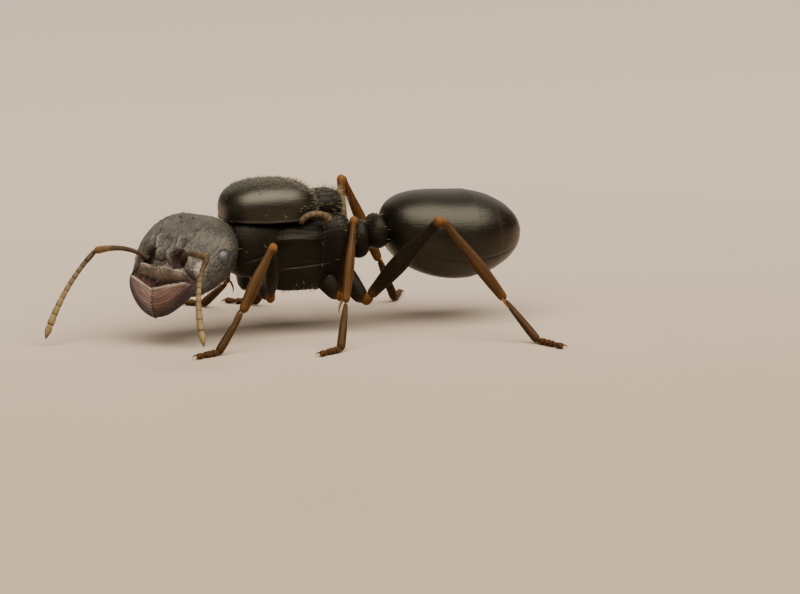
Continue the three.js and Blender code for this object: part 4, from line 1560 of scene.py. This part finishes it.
class ANT_OT_legs(bpy.types.Operator):
    """Build the four lengths of all six legs"""
    bl_idname = "ant.legs"
    bl_label = "Legs"

    def execute(self, context):
        sizes = context.scene.ant_sizes
        bead = to_object("toe_bead", bead_form(0.5, 0.95), shift=0, unit=1)
        for name in LEG_POSES:
            pair = LEG_SIZES[name.split("_")[0]]
            hip, trochanter, knee, ankle, heel, tip = leg_joints(name)
            pale, black = LEG_TONES[name]
            self.length(f"coxa_{name}", coxa_form(hip, trochanter, pair["coxa"]), "black")
            for part, form in (
                ("femur", femur_form(trochanter, knee, sizes.femur / MM * pair["stout"])),
                ("tibia", tibia_form(knee, ankle, sizes.tibia / MM * pair["stout"])),
            ):
                form.tint = clamp(form.tint + pale)
                form.dark = form.dark * black
                self.length(f"{part}_{name}", form, "limb")
            self.foot(name, tarsus_parts(ankle, heel, tip, sizes.toe / MM), bead, pale)
            claws = joined(claw_forms(tip, (tip - heel) / np.linalg.norm(tip - heel)))
            show(to_object(f"claws_{name}", claws), finish("limb"))
        drop(bead)
        return {"FINISHED"}

    def length(self, node, form, look):
        """Builds one length of a leg in place of its node."""
        keep_skin("legs", form)
        show(to_object(f"{node}_shell", form), finish(look), [node])

    def foot(self, name, parts, bead, pale):
        """Builds the beads of a tarsus."""
        darks = np.array(TOE_DARKS) * (1 - pale)
        row = beads(f"tarsus_{name}_beads", *parts, bead, finish("limb"), darks)
        show(row, finish("limb"), [f"tarsus_{name}"])
        run = spread(20)[:, None]
        for first, last, width in zip(*parts):
            skin = tube(first + run * (last - first), np.full(20, width * 0.8), 10)
            keep_skin("legs", skin.give_hairs(1.8, 0.55))


# ---- Hairs ---------------------------------------------------------------------------------------

SKINS = {}


def keep_skin(group, form):
    """Remembers a form, so that hairs can be set on it."""
    SKINS.setdefault(group, []).append(form)


class ANT_OT_hairs(bpy.types.Operator):
    """Set the hairs on every skin"""
    bl_idname = "ant.hairs"
    bl_label = "Hairs"

    def execute(self, context):
        sizes = context.scene.ant_sizes
        tree = hair_tree()
        for number, (group, (density, long, wide, lean, curl)) in enumerate(COATS.items()):
            skin = to_object("skin", joined(SKINS[group]))
            inputs = {"Density": density / MM ** 2, "Length": sizes.hair_length * long,
                      "Width": sizes.hair_width * wide, "Lean": lean, "Curl": curl,
                      "Seed": context.scene.ant_stage.seed + number, "Material": finish("hair")}
            hairs = run_nodes(f"hairs_{group}", skin, tree, inputs)
            drop(skin)
            if not hairs.data.polygons:
                raise RuntimeError(f"no hairs grew on the {group}")
            show(hairs, finish("hair"))
        return {"FINISHED"}


# ---- Stage ---------------------------------------------------------------------------------------

FLOOR_REACH = 1.2
# Places along Y, in millimetres, between which the near colour, a painted shadow in front of the
# ant, turns into the floor's
SHADOW_END, FAR_START = -35.0, 45.0
ROOM_GLOW = 0.06
AIM = (0, 0, 0.003)
# Place and size in metres, share of the key's power, colour
LIGHTS = {
    "key": ((0.0, -0.125, 0.265), (0.55, 0.3), 1.28, (1.0, 0.955, 0.89)),
    "back": ((0.1, 0.3, 0.2), (0.5, 0.4), 0.14, (1.0, 0.93, 0.82)),
}
SENSOR = 36.0
# How far the middle of the view is from the trunk's foot, as shares of the view's width
VIEW_RIGHT, VIEW_UP = 0.1375, 0.04125


class ANT_OT_stage(bpy.types.Operator):
    """Set the floor, the soft lights and the camera"""
    bl_idname = "ant.stage"
    bl_label = "Stage"

    def execute(self, context):
        stage = context.scene.ant_stage
        self.floor(stage)
        self.lights(stage)
        self.camera(context.scene, stage)
        return {"FINISHED"}

    def floor(self, stage):
        """A plain floor, whose near colour, a darker painted shadow in front of the ant, turns
        softly into the far one.
        """
        mesh = bpy.data.meshes.new("floor")
        corners = np.array(((-1, -1, 0), (1, -1, 0), (1, 1, 0), (-1, 1, 0))) * FLOOR_REACH
        mesh.from_pydata(corners.tolist(), [], [(0, 1, 2, 3)])
        plane = link("floor", mesh)
        make = Finish("Floor", {"Specular IOR Level": 0.2})
        clouds = make.noise(make.place(0.07))
        _, y, _ = make.parts(make.place(1.0))
        # Painted shadow in the near colour, fading into the floor's own colour farther back.
        far = make.step(y + (clouds - 0.5) * 20.0, SHADOW_END, FAR_START)
        make.set(Base_Color=make.mix(far, rgba(stage.near), rgba(stage.floor)), Roughness=0.7)
        mesh.materials.append(make.material)

    def lights(self, stage):
        """A dim even room, a wide soft key light in front and a faint one behind."""
        world = bpy.data.worlds.new("Soft room")
        world.use_nodes = True
        bpy.context.scene.world = world
        back = world.node_tree.nodes["Background"]
        back.inputs["Color"].default_value = rgba(stage.wall)
        back.inputs["Strength"].default_value = ROOM_GLOW
        for name, (place, size, share, colour) in LIGHTS.items():
            lamp = bpy.data.lights.new(name, "AREA")
            lamp.energy = stage.key * share
            lamp.shape = "RECTANGLE"
            lamp.size, lamp.size_y = size
            lamp.color = colour
            light = link(name, lamp)
            light.location = place
            light.rotation_euler = (Vector(AIM) - Vector(place)).to_track_quat("-Z", "Y").to_euler()

    def camera(self, scene, stage):
        """The lens, with the trunk's foot left of and below the middle of its view."""
        turn, level = (math.sin(stage.azimuth), math.cos(stage.azimuth)), math.cos(stage.elevation)
        toward = Vector((turn[0] * level, -turn[1] * level, math.sin(stage.elevation)))
        right = Vector((turn[1], turn[0], 0))
        foot = Vector((SHIFT[0] * MM, SHIFT[1] * MM, 0))
        target = foot + (right * VIEW_RIGHT + toward.cross(right) * VIEW_UP) * stage.width
        data = bpy.data.cameras.new("camera")
        data.lens = stage.lens
        data.sensor_width = SENSOR
        data.clip_start = 0.005
        camera = link("camera", data)
        camera.location = target + toward * stage.width * data.lens / data.sensor_width
        camera.rotation_euler = (-toward).to_track_quat("-Z", "Y").to_euler()
        scene.camera = camera


# ---- Sidebar and registration --------------------------------------------------------------------

PIECES = (ANT_OT_head, ANT_OT_eyes, ANT_OT_jaws, ANT_OT_feelers, ANT_OT_trunk, ANT_OT_waist,
          ANT_OT_gaster, ANT_OT_wing_stubs, ANT_OT_legs, ANT_OT_hairs, ANT_OT_stage)
GROUPS = {"ant_colours": AntColours, "ant_sizes": AntSizes, "ant_stage": AntStage}


class ANT_PT_panel(bpy.types.Panel):
    """Lists the operators and settings of the ant"""
    bl_label = "Harvester ant queen"
    bl_idname = "ANT_PT_panel"
    bl_space_type = "VIEW_3D"
    bl_region_type = "UI"
    bl_category = "Ant"

    def draw(self, context):
        for piece in PIECES:
            self.layout.operator(piece.bl_idname)
        for name, group in GROUPS.items():
            box = self.layout.box()
            for setting in group.__annotations__:
                box.prop(getattr(context.scene, name), setting)


def register():
    for group in (*GROUPS.values(), *PIECES, ANT_PT_panel):
        bpy.utils.register_class(group)
    for name, group in GROUPS.items():
        setattr(bpy.types.Scene, name, PointerProperty(type=group))


def unregister():
    for name in GROUPS:
        delattr(bpy.types.Scene, name)
    for group in (ANT_PT_panel, *reversed(PIECES), *reversed(list(GROUPS.values()))):
        bpy.utils.unregister_class(group)


def main():
    """Builds every piece and the stage."""
    register()
    for piece in PIECES:
        family, name = piece.bl_idname.split(".")
        getattr(getattr(bpy.ops, family), name)()
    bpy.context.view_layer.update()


if __name__ == "__main__":
    main()
